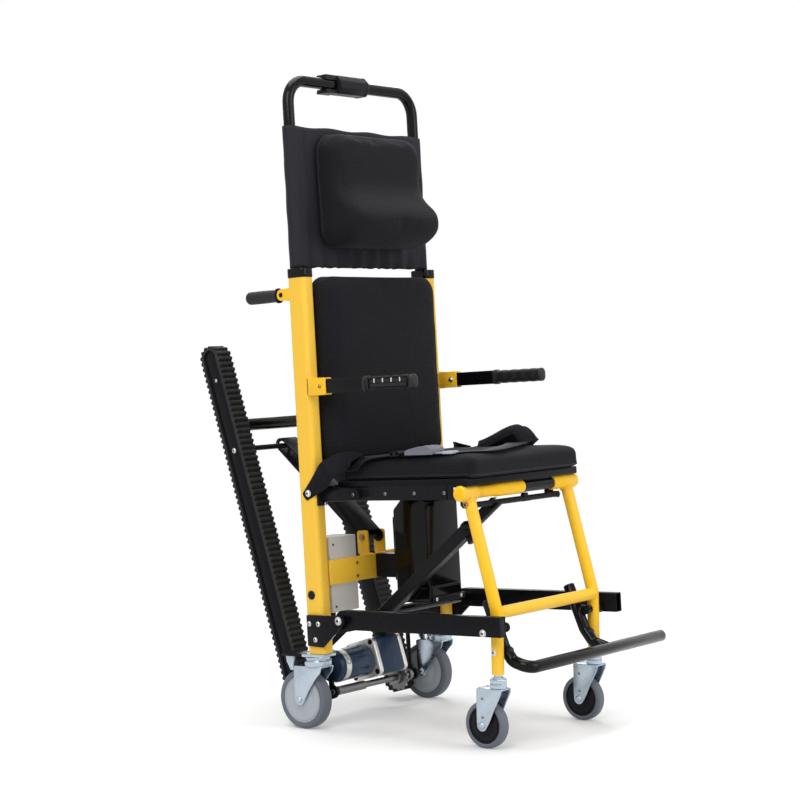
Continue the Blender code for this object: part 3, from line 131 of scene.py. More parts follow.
# Seat frame, brackets and front frame
PAN_TOP = 0.518
PAN_Z0 = 0.506
PAN_Y1 = -0.400
RAIL_OUT = 0.1945
RAIL_T = 0.012
RAIL_Z0 = 0.476
RAIL_Y0 = -0.050
RAIL_Y1 = -0.350
RAIL_SCREWS = (-0.113, -0.188, -0.264, -0.341)
SEAT_PIVOT = (-0.117, 0.490)
SEAT_EAR_X0 = 0.204
SEAT_EAR_X1 = 0.210
FRONT_TUBE = (-0.383, 0.488)
FRONT_TUBE_R = 0.009
FRONT_COVER_R = 0.0125
SLEEVE_GAP = (0.0125, 0.115)
CATCH_BAR = (-0.378, 0.462)
CATCH_BAR_R = 0.006
CATCH_BAR_X = 0.150
LEG_X = 0.171
LEG_R = 0.0125
LEG_KNEE = (-0.438, 0.252)
LEG_END_Z = 0.128
LEG_BOLT_LOW = (-0.4345, 0.1725)
LEG_BOLT_HIGH = (-0.3855, 0.4650)
TEE_R = 0.017
TEE_SKIN_R = 0.0158
SLEEVE_OUT = 0.197

# Footrest, base rails and brace
FOOT_X = 0.143
FOOT_R = 0.0125
FOOT_PIVOT = (-0.437, 0.218)
FOOT_TOP = (-0.397, 0.268)
FOOT_BAR = (-0.490, 0.139)
FOOT_BAR_END = 0.350
BASE_PIVOT = (-0.073, 0.230)
BASE_RAIL_X = 0.197
BASE_RAIL_T = 0.020
BASE_RAIL_H = 0.040
BASE_RAIL_Y1 = -0.478
LEG_PIVOT = (-0.436, 0.215)
HINGE_Z0 = 0.173
HINGE_R = 0.0145
HINGE_BOLTS = ((0.008, 0.222), (-0.017, 0.222), (-0.007, 0.189))
HINGE_T = 0.006
AXLE_SPACERS = ((-0.189, -0.100), (-0.050, 0.189))
BRACE_X = -0.075
BRACE_W = 0.026
KNOB_AT = 0.285
KNOB_R = 0.011
KNOB_FLUTES = 12

# Middle: cross plate, battery, controller
PLATE_T = 0.005
PLATE_Z0 = 0.299
PLATE_Z1 = 0.351
PLATE_Y_RIGHT = -0.020
PLATE_Y_LEFT = 0.010
CLEVIS_PIVOT = (0.020, 0.385)
BATTERY_W = 0.112
BATTERY_Y0 = -0.180
BATTERY_Y1 = -0.090
BATTERY_Z0 = 0.252
BATTERY_Z1 = 0.474
DOCK_T = 0.010
DOCK_X = 0.045
DOCK_Z0 = 0.300
DOCK_Z1 = 0.430
CONTROLLER_X0 = -0.182
CONTROLLER_X1 = -0.096
CONTROLLER_Y0 = -0.0172
CONTROLLER_D = 0.058
CONTROLLER_Z0 = 0.239
CONTROLLER_Z1 = 0.398

# Arms and rear grips
ARM_X = 0.222
ARM_PIVOT = (-0.060, 0.717)
ARM_T = 0.014
ARM_H = 0.030
ARM_BAR_END = -0.180
ARM_GRIP_END = -0.307
REAR_GRIP_END = 0.151

# Drive and tracks
BEAM_Z0 = 0.192
BEAM_Z1 = 0.214
BEAM_D = 0.024
SADDLE_Y1 = 0.036
HANGER_Y0 = -0.014
HANGER_Y1 = 0.009
SHAFT = (0.035, 0.063)
SHAFT_R = 0.007
SPROCKET_R = 0.030
SPROCKET_X = 0.080
SPROCKET_TEETH = 14
HANGER_X = 0.1245
MOTOR = (0.047, 0.1146)
MOTOR_R = 0.035
MOTOR_LEAN = math.radians(15.0)
MOTOR_X0 = -0.130
FLANGE_X0 = -0.020
BAND_X0 = 0.016
BAND_X1 = 0.032
GEARBOX_X0 = -0.008
GEARBOX_X1 = 0.075
GEARBOX_W = 0.084
TRACK_X = 0.161
BELT_W = 0.042
BELT_R = 0.0285
BELT_T = 0.010
BELT_TREAD = 0.004
BELT_PITCH = 0.0127
PULLEY_LOW = (0.096, 0.045)
PULLEY_HIGH = (0.304, 0.7915)
CROSS_TUBE = (0.250, 0.643)
CROSS_TUBE_R = 0.014
TRACK_ROD = (0.248, 0.590)
TRACK_ROD_R = 0.006
STRUT_W = 0.050
STRUT_D = 0.028

# Casters and lap belt
REAR_WHEEL_R = 0.0625
REAR_WHEEL_W = 0.030
REAR_HUB_R = 0.050
REAR_AXLE_Y = 0.050
REAR_STEM_Y = 0.016
FRONT_WHEEL_R = 0.0475
FRONT_WHEEL_W = 0.024
FRONT_HUB_R = 0.0375
FRONT_TRAIL = 0.030
REAR_PLATE_T = 0.007
REAR_PLATE_X = 0.186
REAR_PLATE_Y1 = 0.093
REAR_CROWN_Z = 0.1315
NECK_H = 0.0075
NUT_R = 0.0185
NUT_H = 0.0195
FORK_BACK = 0.0125
FORK_T = 0.003
REAR_FORK_CURVE = ((0.024, 0.22), (0.038, 0.47), (0.050, 0.66), (0.060, 0.80), (0.064, 0.94))
FRONT_FORK_CURVE = ((0.021, 0.16), (0.031, 0.45), (0.045, 0.82), (0.048, 0.94))
GROUND_DROP = 0.005
STRAP_W = 0.046
STRAP_T = 0.002
BUCKLE_INSET = 0.028
BUCKLE_Y0 = -0.243
BUCKLE_Y1 = -0.311
ADJUSTER_Y = -0.216

# Camera, in the upright frame
CAMERA_EYE = (-3.31551, -2.78825, 0.70454)
CAMERA_TURN = math.radians(-50.785)
CAMERA_RISE = math.radians(0.3465)
CAMERA_ROLL = math.radians(-3.215)
CAMERA_LENS = 89.38
SENSOR = 36.0
FLOOR_REACH = 30.0

# Worked out
POST_IN = POST_X - POST_W / 2
POST_OUT = POST_X + POST_W / 2
POST_FRONT = -POST_D / 2
POST_REAR = POST_D / 2
SEAT_TOP = PAN_TOP + GAP + SEAT_T + CROWN
BACKREST_Z0 = SEAT_TOP + BACKREST_OVER
WORLD_UP = Vector((0.0, -math.sin(LEAN), math.cos(LEAN)))
TILT = Matrix.Rotation(-LEAN, 4, "X")
seat_joint = next(j for j in frame["joints"] if j["name"] == "seat_fold")
SHIFT = Vector(seat_joint["pos_m"]) - TILT @ Vector((0.0, *SEAT_PIVOT))
CHAIR = Matrix.Translation(SHIFT) @ TILT
UPRIGHT = Matrix.Rotation(math.radians(90), 4, "X")


def link_mesh(name, verts, faces):
    """New linked object from points and faces, with outward normals."""
    mesh = bpy.data.meshes.new(name)
    mesh.from_pydata([tuple(v) for v in verts], [], faces)
    bm = bmesh.new()
    bm.from_mesh(mesh)
    bmesh.ops.recalc_face_normals(bm, faces=bm.faces)
    bm.to_mesh(mesh)
    bm.free()
    obj = bpy.data.objects.new(name, mesh)
    bpy.context.scene.collection.objects.link(obj)
    return obj


def bake(obj):
    """Put an object's modifiers into its mesh."""
    bpy.context.view_layer.update()
    graph = bpy.context.evaluated_depsgraph_get()
    mesh = bpy.data.meshes.new_from_object(obj.evaluated_get(graph))
    obj.modifiers.clear()
    obj.data = mesh
    return obj


def soften(obj, width=0.001, segments=2, angle=32.0):
    """Round the edges a little and shade smoothly between the sharp ones."""
    if width:
        rounding = obj.modifiers.new("round", "BEVEL")
        rounding.width = width
        rounding.segments = segments
        rounding.limit_method = "ANGLE"
        rounding.angle_limit = math.radians(angle)
        rounding.use_clamp_overlap = True
        bake(obj)
    obj.data.shade_smooth()
    obj.data.set_sharp_from_angle(angle=SHARP)
    return obj


def join(objs):
    """Several objects as one mesh, in the frame they are drawn in."""
    bm = bmesh.new()
    for obj in objs:
        bm.from_mesh(obj.data)
    mesh = bpy.data.meshes.new(objs[0].name)
    bm.to_mesh(mesh)
    bm.free()
    first = objs[0]
    first.data = mesh
    for obj in objs[1:]:
        bpy.data.objects.remove(obj, do_unlink=True)
    return first


def cut(obj, others):
    """Cut others out of obj."""
    for other in others:
        tool = obj.modifiers.new("cut", "BOOLEAN")
        tool.operation = "DIFFERENCE"
        tool.solver = "EXACT"
        tool.object = other
    bake(obj)
    for other in others:
        bpy.data.objects.remove(other, do_unlink=True)
    return obj


def box(x, y, z, name="box"):
    """Box between pairs of limits."""
    verts = [(a, b, c) for a in x for b in y for c in z]
    faces = [(0, 1, 3, 2), (4, 6, 7, 5), (0, 4, 5, 1), (2, 3, 7, 6), (0, 2, 6, 4), (1, 5, 7, 3)]
    return link_mesh(name, verts, faces)


def arc(centre, radius, start, end, steps):
    """Points of an arc, angles in degrees."""
    points = []
    for i in range(steps + 1):
        angle = math.radians(start + (end - start) * i / steps)
        points.append((centre[0] + radius * math.cos(angle), centre[1] + radius * math.sin(angle)))
    return points


def rounded_rect(width, depth, radius, steps=5, centre=(0.0, 0.0)):
    """Rectangle outline with round corners."""
    points = []
    for k, (sx, sy) in enumerate(((1, 1), (-1, 1), (-1, -1), (1, -1))):
        corner = (centre[0] + sx * (width / 2 - radius), centre[1] + sy * (depth / 2 - radius))
        points += arc(corner, radius, 90 * k, 90 * k + 90, steps)
    return points


def capsule(low, high, radius, steps=14):
    """Outline round two points."""
    lean = math.degrees(math.atan2(high[1] - low[1], high[0] - low[0]))
    return arc(high, radius, lean - 90, lean + 90, steps) + arc(low, radius, lean + 90, lean + 270, steps)


def slab(outline, limits, axis="x", name="slab"):
    """Flat outline pushed along an axis between two limits."""
    order = {"x": (2, 0, 1), "y": (0, 2, 1), "z": (0, 1, 2)}[axis]
    points = [(a, b, limit) for limit in limits for a, b in outline]
    verts = [tuple(point[k] for k in order) for point in points]
    return link_mesh(name, verts, loft_faces(len(outline), 2))


def loft_faces(count, rows):
    """Faces of a closed skin over rows of count points, with both ends filled."""
    faces = [tuple(range(count)), tuple(range((rows - 1) * count, rows * count))]
    for r in range(rows - 1):
        for i in range(count):
            j = (i + 1) % count
            faces.append((r * count + i, r * count + j, (r + 1) * count + j, (r + 1) * count + i))
    return faces


def round_path(points, radius, steps=10):
    """Path through points with each inner corner rounded."""
    points = [Vector(p) for p in points]
    path = [points[0]]
    for before, corner, after in zip(points, points[1:], points[2:]):
        into = (corner - before).normalized()
        out = (after - corner).normalized()
        turn = into.angle(out)
        reach = radius * math.tan(turn / 2)
        centre = corner + (out - into).normalized() * (radius / math.cos(turn / 2))
        first = corner - into * reach - centre
        axis = into.cross(out).normalized()
        for i in range(steps + 1):
            path.append(centre + Matrix.Rotation(turn * i / steps, 3, axis) @ first)
    path.append(points[-1])
    return path


def smooth_path(points, steps=8):
    """Smooth curve through all the points."""
    points = [Vector(p) for p in points]
    path = []
    for i in range(len(points) - 1):
        p0, p1 = points[max(i - 1, 0)], points[i]
        p2, p3 = points[i + 1], points[min(i + 2, len(points) - 1)]
        for k in range(steps):
            t = k / steps
            path.append(0.5 * (2 * p1 + (p2 - p0) * t + (2 * p0 - 5 * p1 + 4 * p2 - p3) * t ** 2
                               + (3 * p1 - p0 - 3 * p2 + p3) * t ** 3))
    path.append(points[-1])
    return path


def sweep(path, section, normal, shrink=None, name="sweep"):
    """Closed solid made by carrying a section along a path; shrink gives its size at each point."""
    path = [Vector(p) for p in path]
    side = Vector(normal)
    verts = []
    for i, point in enumerate(path):
        ahead = path[min(i + 1, len(path) - 1)] - point
        behind = point - path[max(i - 1, 0)]
        tangent = (ahead.normalized() + behind.normalized()).normalized()
        side = (side - tangent * side.dot(tangent)).normalized()
        other = tangent.cross(side)
        size = shrink[i] if shrink else 1.0
        verts += [point + (side * a + other * b) * size for a, b in section]
    return link_mesh(name, verts, loft_faces(len(section), len(path)))


def circle(radius, sides=28):
    """Round section for sweep."""
    return arc((0.0, 0.0), radius, 0, 360 - 360 / sides, sides - 1)


def tube(path, radius, normal=(1, 0, 0), sides=28, dome=0.0):
    """Round tube along a path, with its ends domed by that length."""
    path = [Vector(p) for p in path]
    if not dome:
        return sweep(path, circle(radius, sides), normal)
    first = (path[0] - path[1]).normalized()
    last = (path[-1] - path[-2]).normalized()
    bend = [(dome * math.sin(math.radians(a)), math.cos(math.radians(a))) for a in (25, 50, 70, 84)]
    full = [path[0] + first * d for d, s in reversed(bend)] + path + [path[-1] + last * d for d, s in bend]
    sizes = [s for d, s in reversed(bend)] + [1.0] * len(path) + [s for d, s in bend]
    return sweep(full, circle(radius, sides), normal, sizes)


def lathe(profile, place, sides=40, closed=False, name="lathe"):
    """Shape turned about the local X axis from (along, radius) points; closed for a ring."""
    verts = []
    for along, radius in profile:
        for k in range(sides):
            angle = 2 * math.pi * k / sides
            verts.append(place @ Vector((along, radius * math.cos(angle), radius * math.sin(angle))))
    faces = []
    rows = len(profile)
    for a in range(rows if closed else rows - 1):
        b = (a + 1) % rows
        faces += [(a * sides + k, a * sides + (k + 1) % sides, b * sides + (k + 1) % sides, b * sides + k)
                  for k in range(sides)]
    if not closed:
        faces += [tuple(range(sides)), tuple(range((rows - 1) * sides, rows * sides))]
    return link_mesh(name, verts, faces)


def aim(at, direction):
    """Matrix that puts the local X axis along a direction."""
    return Matrix.Translation(Vector(at)) @ Vector(direction).to_track_quat("X", "Z").to_matrix().to_4x4()


def rod_x(x0, x1, yz, radius, sides=32):
    """Round bar along X with slightly rounded ends."""
    edge = min(0.0008, radius / 4)
    length = abs(x1 - x0)
    profile = [(0.0, radius - edge), (edge, radius), (length - edge, radius), (length, radius - edge)]
    return lathe(profile, aim((x0, *yz), (1 if x1 > x0 else -1, 0, 0)), sides)


def span(side, near, far):
    """Limits along X on one side, from the nearer to the further distance off the middle."""
    return (near, far) if side > 0 else (-far, -near)


def moved(obj, matrix):
    """Move an object's mesh by a matrix."""
    obj.data.transform(matrix)
    return obj


def piece(obj, name, body, material, slot, *replaced, place=None):
    """Name a finished piece, give it its material and hang it on its body."""
    obj.name = name
    obj.data.name = name
    obj.data.materials.clear()
    obj.data.materials.append(material)
    obj.matrix_world = CHAIR if place is None else place
    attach(obj, body)
    if replaced:
        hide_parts(*replaced)
    return obj


# Materials

def add(tree, kind, settings=None, inputs=None):
    """New node; an input given as a socket is linked, and anything else is set."""
    node = tree.nodes.new("ShaderNode" + kind)
    for key, value in (settings or {}).items():
        setattr(node, key, value)
    for key, value in (inputs or {}).items():
        if isinstance(value, bpy.types.NodeSocket):
            tree.links.new(value, node.inputs[key])
        else:
            node.inputs[key].default_value = value
    return node


def shade(colour, factor):
    """A colour made darker or lighter."""
    return (*[min(1.0, c * factor) for c in colour], 1.0)


def start_material(name, sockets):
    """Material with constant sockets set on its shader."""
    material = bpy.data.materials.new(name)
    material.use_nodes = True
    tree = material.node_tree
    surface = tree.nodes["Principled BSDF"]
    for key, value in sockets.items():
        surface.inputs[key].default_value = value
    return material, tree, surface, add(tree, "TexCoord").outputs["Object"]


def noise(tree, where, scale, detail=4.0, rough=0.55):
    """Noise value at a scale, in features per metre."""
    node = add(tree, "TexNoise",
               inputs={"Vector": where, "Scale": scale, "Detail": detail, "Roughness": rough})
    return node.outputs["Fac"]


def remap(tree, value, low, high, start=0.3, end=0.7):
    """Value moved from one range to another, and kept inside it."""
    node = add(tree, "MapRange", inputs={"Value": value, 1: start, 2: end, 3: low, 4: high})
    return node.outputs["Result"]


def blend_colour(tree, factor, first, second):
    """Mix of two colours; either may be a socket."""
    node = add(tree, "Mix", {"data_type": "RGBA"}, {0: factor, 6: first, 7: second})
    return node.outputs[2]


def maths(tree, operation, first, second=0.0):
    """One sum of two numbers or sockets."""
    return add(tree, "Math", {"operation": operation}, {0: first, 1: second}).outputs[0]


def finish_surface(tree, surface, colour, rough, height, distance):
    """Wire colour, roughness and bump into the shader."""
    tree.links.new(colour, surface.inputs["Base Color"])
    tree.links.new(rough, surface.inputs["Roughness"])
    bump = add(tree, "Bump", inputs={"Height": height, "Distance": distance, "Strength": 0.6})
    tree.links.new(bump.outputs["Normal"], surface.inputs["Normal"])


def coated(name, colour, rough, spread=0.05, grain=(900.0, 0.0002), scuff_and_highlight=None, scuff_and_highlight_amount=0.5, vary=0.08,
           **sockets):
    """Paint, plastic or metal: patchy colour, uneven gloss, a fine grain, and edges mixed towards a second
    colour, partly scuffing and partly a painted edge highlight.
    """
    constants = {key.replace("_", " "): value for key, value in sockets.items()}
    material, tree, surface, where = start_material(name, constants)
    patches = noise(tree, where, 9.0, 6.0)
    base = blend_colour(tree, patches, shade(colour, 1 - vary), shade(colour, 1 + vary))
    # Sharp edges, with a little noise, mix the colour towards the edge colour: partly scuffing, partly a
    # painted edge highlight.
    if scuff_and_highlight:
        edge = add(tree, "NewGeometry").outputs["Pointiness"]
        scuff_and_highlight_mask = maths(tree, "ADD", edge, maths(tree, "MULTIPLY", noise(tree, where, 130.0), 0.06))
        base = blend_colour(tree, remap(tree, scuff_and_highlight_mask, 0.0, scuff_and_highlight_amount, 0.555, 0.62), base, (*scuff_and_highlight, 1.0))
    fine = noise(tree, where, grain[0], 3.0)
    smudge = noise(tree, where, 38.0, 5.0)
    finish_surface(tree, surface, base, remap(tree, smudge, rough - spread, rough + spread), fine, grain[1])
    return material


def mesh_fabric():
    """Knitted spacer mesh: a lattice of small open dots over a soft pile."""
    material, tree, surface, where = start_material(
        "spacer_mesh", {"Specular IOR Level": 0.10, "Sheen Weight": 0.05, "Sheen Roughness": 0.5})
    facing = add(tree, "SeparateXYZ", inputs={0: add(tree, "TexCoord").outputs["Normal"]})
    spot = add(tree, "SeparateXYZ", inputs={0: where})
    total = None
    for axis in range(3):
        ripple = maths(tree, "COSINE", maths(tree, "MULTIPLY", spot.outputs[axis], 2 * math.pi / MESH_PITCH))
        flat = maths(tree, "SUBTRACT", 1.0, maths(tree, "ABSOLUTE", facing.outputs[axis]))
        part = maths(tree, "MULTIPLY", ripple, flat)
        total = part if total is None else maths(tree, "ADD", total, part)
    knit = remap(tree, total, 0.0, 1.0, -1.3, 0.9)
    fuzz = noise(tree, where, 1500.0, 2.0)
    wide = noise(tree, where, 7.0, 4.0)
    pile = blend_colour(tree, wide, (0.0105, 0.0105, 0.0140, 1), (0.0165, 0.0165, 0.0210, 1))
    base = blend_colour(tree, knit, (0.0035, 0.0035, 0.0045, 1), pile)
    height = maths(tree, "ADD", knit, maths(tree, "MULTIPLY", fuzz, 0.35))
    finish_surface(tree, surface, base, remap(tree, fuzz, 0.72, 0.95), height, 0.0007)
    return material


def nylon_weave():
    """Plain woven nylon of the head panel, with slight creases whose shade is painted into its colour."""
    material, tree, surface, where = start_material(
        "woven_nylon", {"Specular IOR Level": 0.12, "Sheen Weight": 0.04, "Sheen Roughness": 0.4})
    spot = add(tree, "SeparateXYZ", inputs={0: where})
    across = maths(tree, "SINE", maths(tree, "MULTIPLY", spot.outputs[0], 2 * math.pi / WEAVE_PITCH))
    along = maths(tree, "SINE", maths(tree, "MULTIPLY", spot.outputs[2], 2 * math.pi / WEAVE_PITCH))
    weave = remap(tree, maths(tree, "MULTIPLY", across, along), 0.0, 1.0, -1.0, 1.0)
    stretch = add(tree, "Mapping", inputs={"Vector": where, "Scale": (1.0, 1.0, 0.25)}).outputs[0]
    crease_and_shade = noise(tree, stretch, 26.0, 5.0)
    # The creases also darken the colour in vertical streaks: painted shade of the folds.
    base = blend_colour(tree, crease_and_shade, (0.0135, 0.0132, 0.0185, 1), (0.028, 0.0275, 0.036, 1))
    base = blend_colour(tree, remap(tree, weave, 0.0, 0.35, 0.0, 1.0), base, (0.010, 0.010, 0.012, 1))
    height = maths(tree, "ADD", weave, maths(tree, "MULTIPLY", crease_and_shade, 5.0))
    finish_surface(tree, surface, base, remap(tree, crease_and_shade, 0.48, 0.66), height, 0.0004)
    return material


def webbing():
    """Ribbed belt webbing; the ribs run along the strap, so they follow its own map."""
    material, tree, surface, where = start_material(
        "belt_webbing", {"Specular IOR Level": 0.08, "Sheen Weight": 0.02, "Sheen Roughness": 0.35})
    spot = add(tree, "SeparateXYZ", inputs={0: add(tree, "TexCoord").outputs["UV"]})
    ribs = maths(tree, "ABSOLUTE", maths(tree, "SINE", maths(tree, "MULTIPLY", spot.outputs[0], math.pi * 9)))
    picks = maths(tree, "SINE", maths(tree, "MULTIPLY", spot.outputs[1], 2 * math.pi * 28))
    weave = maths(tree, "ADD", ribs, maths(tree, "MULTIPLY", picks, 0.25))
    base = blend_colour(tree, remap(tree, weave, 0.0, 1.0, 0.0, 1.2), (0.003, 0.003, 0.0045, 1),
                        (0.0085, 0.0085, 0.0120, 1))
    finish_surface(tree, surface, base, remap(tree, noise(tree, where, 60.0), 0.46, 0.60), weave, 0.0005)
    return material


def rubber(name, colour, rough, dust):
    """Rubber with a fine pitted skin and a little dust in it."""
    material, tree, surface, where = start_material(name, {"Specular IOR Level": 0.3})
    pits = noise(tree, where, 700.0, 4.0, 0.7)
    patches = noise(tree, where, 16.0, 6.0)
    base = blend_colour(tree, remap(tree, patches, 0.0, 0.6, 0.45, 0.75), shade(colour, 1.0), (*dust, 1.0))
    base = blend_colour(tree, remap(tree, pits, 0.0, 0.35, 0.5, 0.8), base, shade(colour, 0.6))
    finish_surface(tree, surface, base, remap(tree, pits, rough - 0.1, rough + 0.1), pits, 0.0004)
    return material


def plated(name, colour, rough, streak=(1.0, 1.0, 14.0)):
    """Zinc or steel with fine drawn lines and cloudy plating."""
    material, tree, surface, where = start_material(name, {"Metallic": 1.0})
    drawn = add(tree, "Mapping", inputs={"Vector": where, "Scale": streak}).outputs[0]
    lines = noise(tree, drawn, 180.0, 5.0, 0.65)
    cloud = noise(tree, where, 34.0, 5.0)
    base = blend_colour(tree, cloud, shade(colour, 0.82), shade(colour, 1.08))
    finish_surface(tree, surface, base, remap(tree, lines, rough - 0.08, rough + 0.1), lines, 0.00012)
    return material


# Where a sixth colour is given, the edges are mixed towards it: partly scuffing, partly a painted edge
# highlight.
YELLOW = coated("yellow_powder_coat", (0.97, 0.55, 0.014), 0.36, grain=(650.0, 0.0003), vary=0.03,
                scuff_and_highlight=(0.95, 0.62, 0.12), scuff_and_highlight_amount=0.5, Specular_IOR_Level=0.14, Coat_Weight=0.08,
                Coat_Roughness=0.12)
BLACK_GLOSS = coated("black_gloss_paint", (0.0028, 0.0028, 0.0038), 0.09, 0.02, (420.0, 0.00003),
                     (0.02, 0.02, 0.022), 0.2, Specular_IOR_Level=0.16)
BLACK_SATIN = coated("black_satin_paint", (0.0040, 0.0043, 0.0062), 0.30, 0.05, (800.0, 0.0001),
                     (0.03, 0.03, 0.034), 0.3, Specular_IOR_Level=0.09)
BLACK_PLASTIC = coated("black_moulded_plastic", (0.0075, 0.0078, 0.0100), 0.38, 0.06, (1300.0, 0.0003),
                       (0.03, 0.03, 0.03), 0.3, Specular_IOR_Level=0.12)
GREY_PLASTIC = coated("grey_moulded_plastic", (0.15, 0.155, 0.185), 0.42, 0.05, (1300.0, 0.0003),
                      (0.36, 0.37, 0.40), 0.3, Specular_IOR_Level=0.25)
LIGHT_HUB = coated("light_grey_hub", (0.43, 0.47, 0.51), 0.38, 0.05, (900.0, 0.0002), Specular_IOR_Level=0.25)
BEIGE = coated("beige_box_plastic", (0.66, 0.64, 0.60), 0.45, 0.05, (1100.0, 0.0004), (0.62, 0.60, 0.55), 0.4,
               Specular_IOR_Level=0.2)
BLUE = coated("blue_enamel", (0.016, 0.036, 0.080), 0.24, 0.05, (500.0, 0.0002), (0.06, 0.10, 0.17), 0.4,
              Specular_IOR_Level=0.2)
BRASS = coated("bronze_bolt", (0.34, 0.19, 0.07), 0.32, 0.08, (700.0, 0.0002), (0.62, 0.45, 0.22), 0.5,
               Metallic=1.0)
FABRIC = mesh_fabric()
NYLON = nylon_weave()
WEBBING = webbing()
BELT_RUBBER = rubber("belt_rubber", (0.013, 0.013, 0.0135), 0.72, (0.040, 0.040, 0.040))
GRIP_RUBBER = rubber("grip_rubber", (0.009, 0.009, 0.010), 0.5, (0.016, 0.016, 0.017))
TYRE = rubber("blue_grey_tyre", (0.135, 0.152, 0.185), 0.5, (0.19, 0.205, 0.235))
ZINC = plated("bright_zinc", (0.46, 0.53, 0.60), 0.24)
STEEL = plated("turned_steel", (0.62, 0.62, 0.61), 0.28, (14.0, 1.0, 1.0))
DARK_STEEL = plated("dark_steel", (0.22, 0.22, 0.22), 0.34, (14.0, 1.0, 1.0))
CHROME = plated("polished_fastener", (0.80, 0.80, 0.79), 0.16)
ALUMINIUM = plated("cast_aluminium", (0.70, 0.70, 0.68), 0.40, (1.0, 1.0, 1.0))


# Camera, floor and light

def make_camera():
    """Camera at the photograph's viewing point."""
    a, p, r = CAMERA_TURN, CAMERA_RISE, CAMERA_ROLL
    back = Vector((math.sin(a) * math.cos(p), -math.cos(a) * math.cos(p), math.sin(p)))
    level = (-back).cross(Vector((0, 0, 1))).normalized()
    over = level.cross(-back)
    right = level * math.cos(r) + over * math.sin(r)
    up = -level * math.sin(r) + over * math.cos(r)
    data = bpy.data.cameras.new("camera")
    data.lens = CAMERA_LENS
    data.sensor_width = SENSOR
    camera = bpy.data.objects.new("camera", data)
    bpy.context.scene.collection.objects.link(camera)
    turn = Matrix((right, up, back)).transposed().to_4x4()
    camera.matrix_world = CHAIR @ Matrix.Translation(CAMERA_EYE) @ turn
    bpy.context.scene.camera = camera


def seen_rays(tree):
    """One where the background itself is seen, straight on, in a mirror or through glass."""
    path = add(tree, "LightPath")
    seen = maths(tree, "MAXIMUM", path.outputs["Is Camera Ray"], path.outputs["Is Glossy Ray"])
    return maths(tree, "MAXIMUM", seen, path.outputs["Is Transmission Ray"])


def make_world():
    """White surroundings, dimmer as a light than as they are seen."""
    bpy.context.scene.view_settings.view_transform = "Standard"
    world = bpy.data.worlds.new("studio")
    bpy.context.scene.world = world
    world.use_nodes = True
    tree = world.node_tree
    tree.nodes.clear()
    strength = remap(tree, seen_rays(tree), 0.32, 1.0, 0.0, 1.0)
    ground = add(tree, "Background", inputs={"Color": (1.0, 1.0, 1.0, 1.0), "Strength": strength})
    output = add(tree, "OutputWorld", inputs={"Surface": ground.outputs[0]})
    output.is_active_output = True


def make_floor():
    """Pale floor that keeps the shadow and fades to white."""
    reach = FLOOR_REACH
    corners = [(-reach, -reach, 0), (reach, -reach, 0), (reach, reach, 0), (-reach, reach, 0)]
    floor = link_mesh("floor", corners, [(0, 1, 2, 3)])
    paper = bpy.data.materials.new("floor_paper")
    paper.use_nodes = True
    tree = paper.node_tree
    tree.nodes.clear()
    spot = add(tree, "TexCoord").outputs["Object"]
    tone = blend_colour(tree, noise(tree, spot, 3.0), (0.80, 0.80, 0.80, 1), (0.82, 0.82, 0.82, 1))
    matt = add(tree, "BsdfDiffuse", inputs={"Color": tone})
    seen = seen_rays(tree)
    glow = add(tree, "Emission", inputs={"Strength": maths(tree, "MULTIPLY", seen, 0.20)})
    both = add(tree, "AddShader", inputs={0: matt.outputs[0], 1: glow.outputs[0]})
    away = add(tree, "VectorMath", {"operation": "LENGTH"}, {0: spot}).outputs["Value"]
    fade = maths(tree, "MULTIPLY", remap(tree, away, 0.0, 1.0, 0.9, 2.2), seen)
    white = add(tree, "Emission", inputs={"Strength": 1.0})
    faded = add(tree, "MixShader", inputs={0: fade, 1: both.outputs[0], 2: white.outputs[0]})
    add(tree, "OutputMaterial", inputs={"Surface": faded.outputs[0]})
    floor.data.materials.append(paper)


def make_lamps():
    """Soft square lamps round the chair."""
    target = Vector((0.0, 0.0, 0.65))
    lamps = {"key": ((-3.4, -1.2, 3.2), 2.6, 95.0), "fill": ((0.9, -3.9, 2.1), 2.6, 60.0),
             "top": ((0.2, 0.3, 4.2), 3.0, 110.0), "back": ((2.6, 2.8, 2.4), 2.0, 40.0)}
    for name, (spot, size, power) in lamps.items():
        data = bpy.data.lights.new(name, "AREA")
        data.shape = "SQUARE"
        data.size = size
        data.energy = power
        lamp = bpy.data.objects.new(name, data)
        bpy.context.scene.collection.objects.link(lamp)
        lamp.location = spot
        lamp.rotation_euler = (target - Vector(spot)).to_track_quat("-Z", "Y").to_euler()


# Small parts

fasteners = {}


def collect(body, material, obj):
    """Keep a small part until all of its kind on that body become one piece."""
    fasteners.setdefault((body, material.name), []).append(obj)


def dome_bolt(body, at, out, radius=0.006, height=0.004, material=None):
    """Button head on a washer, with a hexagon socket in it whose floor is a black hexagon: painted shade of
    the recess.
    """
    r, h = radius, height
    profile = [(0.0, r * 1.25), (0.0008, r * 1.25), (0.001, r), (h * 0.45, r * 0.98), (h * 0.8, r * 0.82),
               (h, r * 0.55), (h, r * 0.46), (h * 0.5, r * 0.44), (h * 0.45, TIP)]
    collect(body, material or STEEL, soften(lathe(profile, aim(at, out), 24), 0))
    # Black hexagon at the floor of the socket: painted shade of the recess.
    socket_shade = [(h * 0.4, r * 0.42), (h * 0.62, r * 0.42), (h * 0.56, r * 0.2), (h * 0.56, TIP)]
    collect(body, BLACK_SATIN, soften(lathe(socket_shade, aim(at, out), 6), 0))


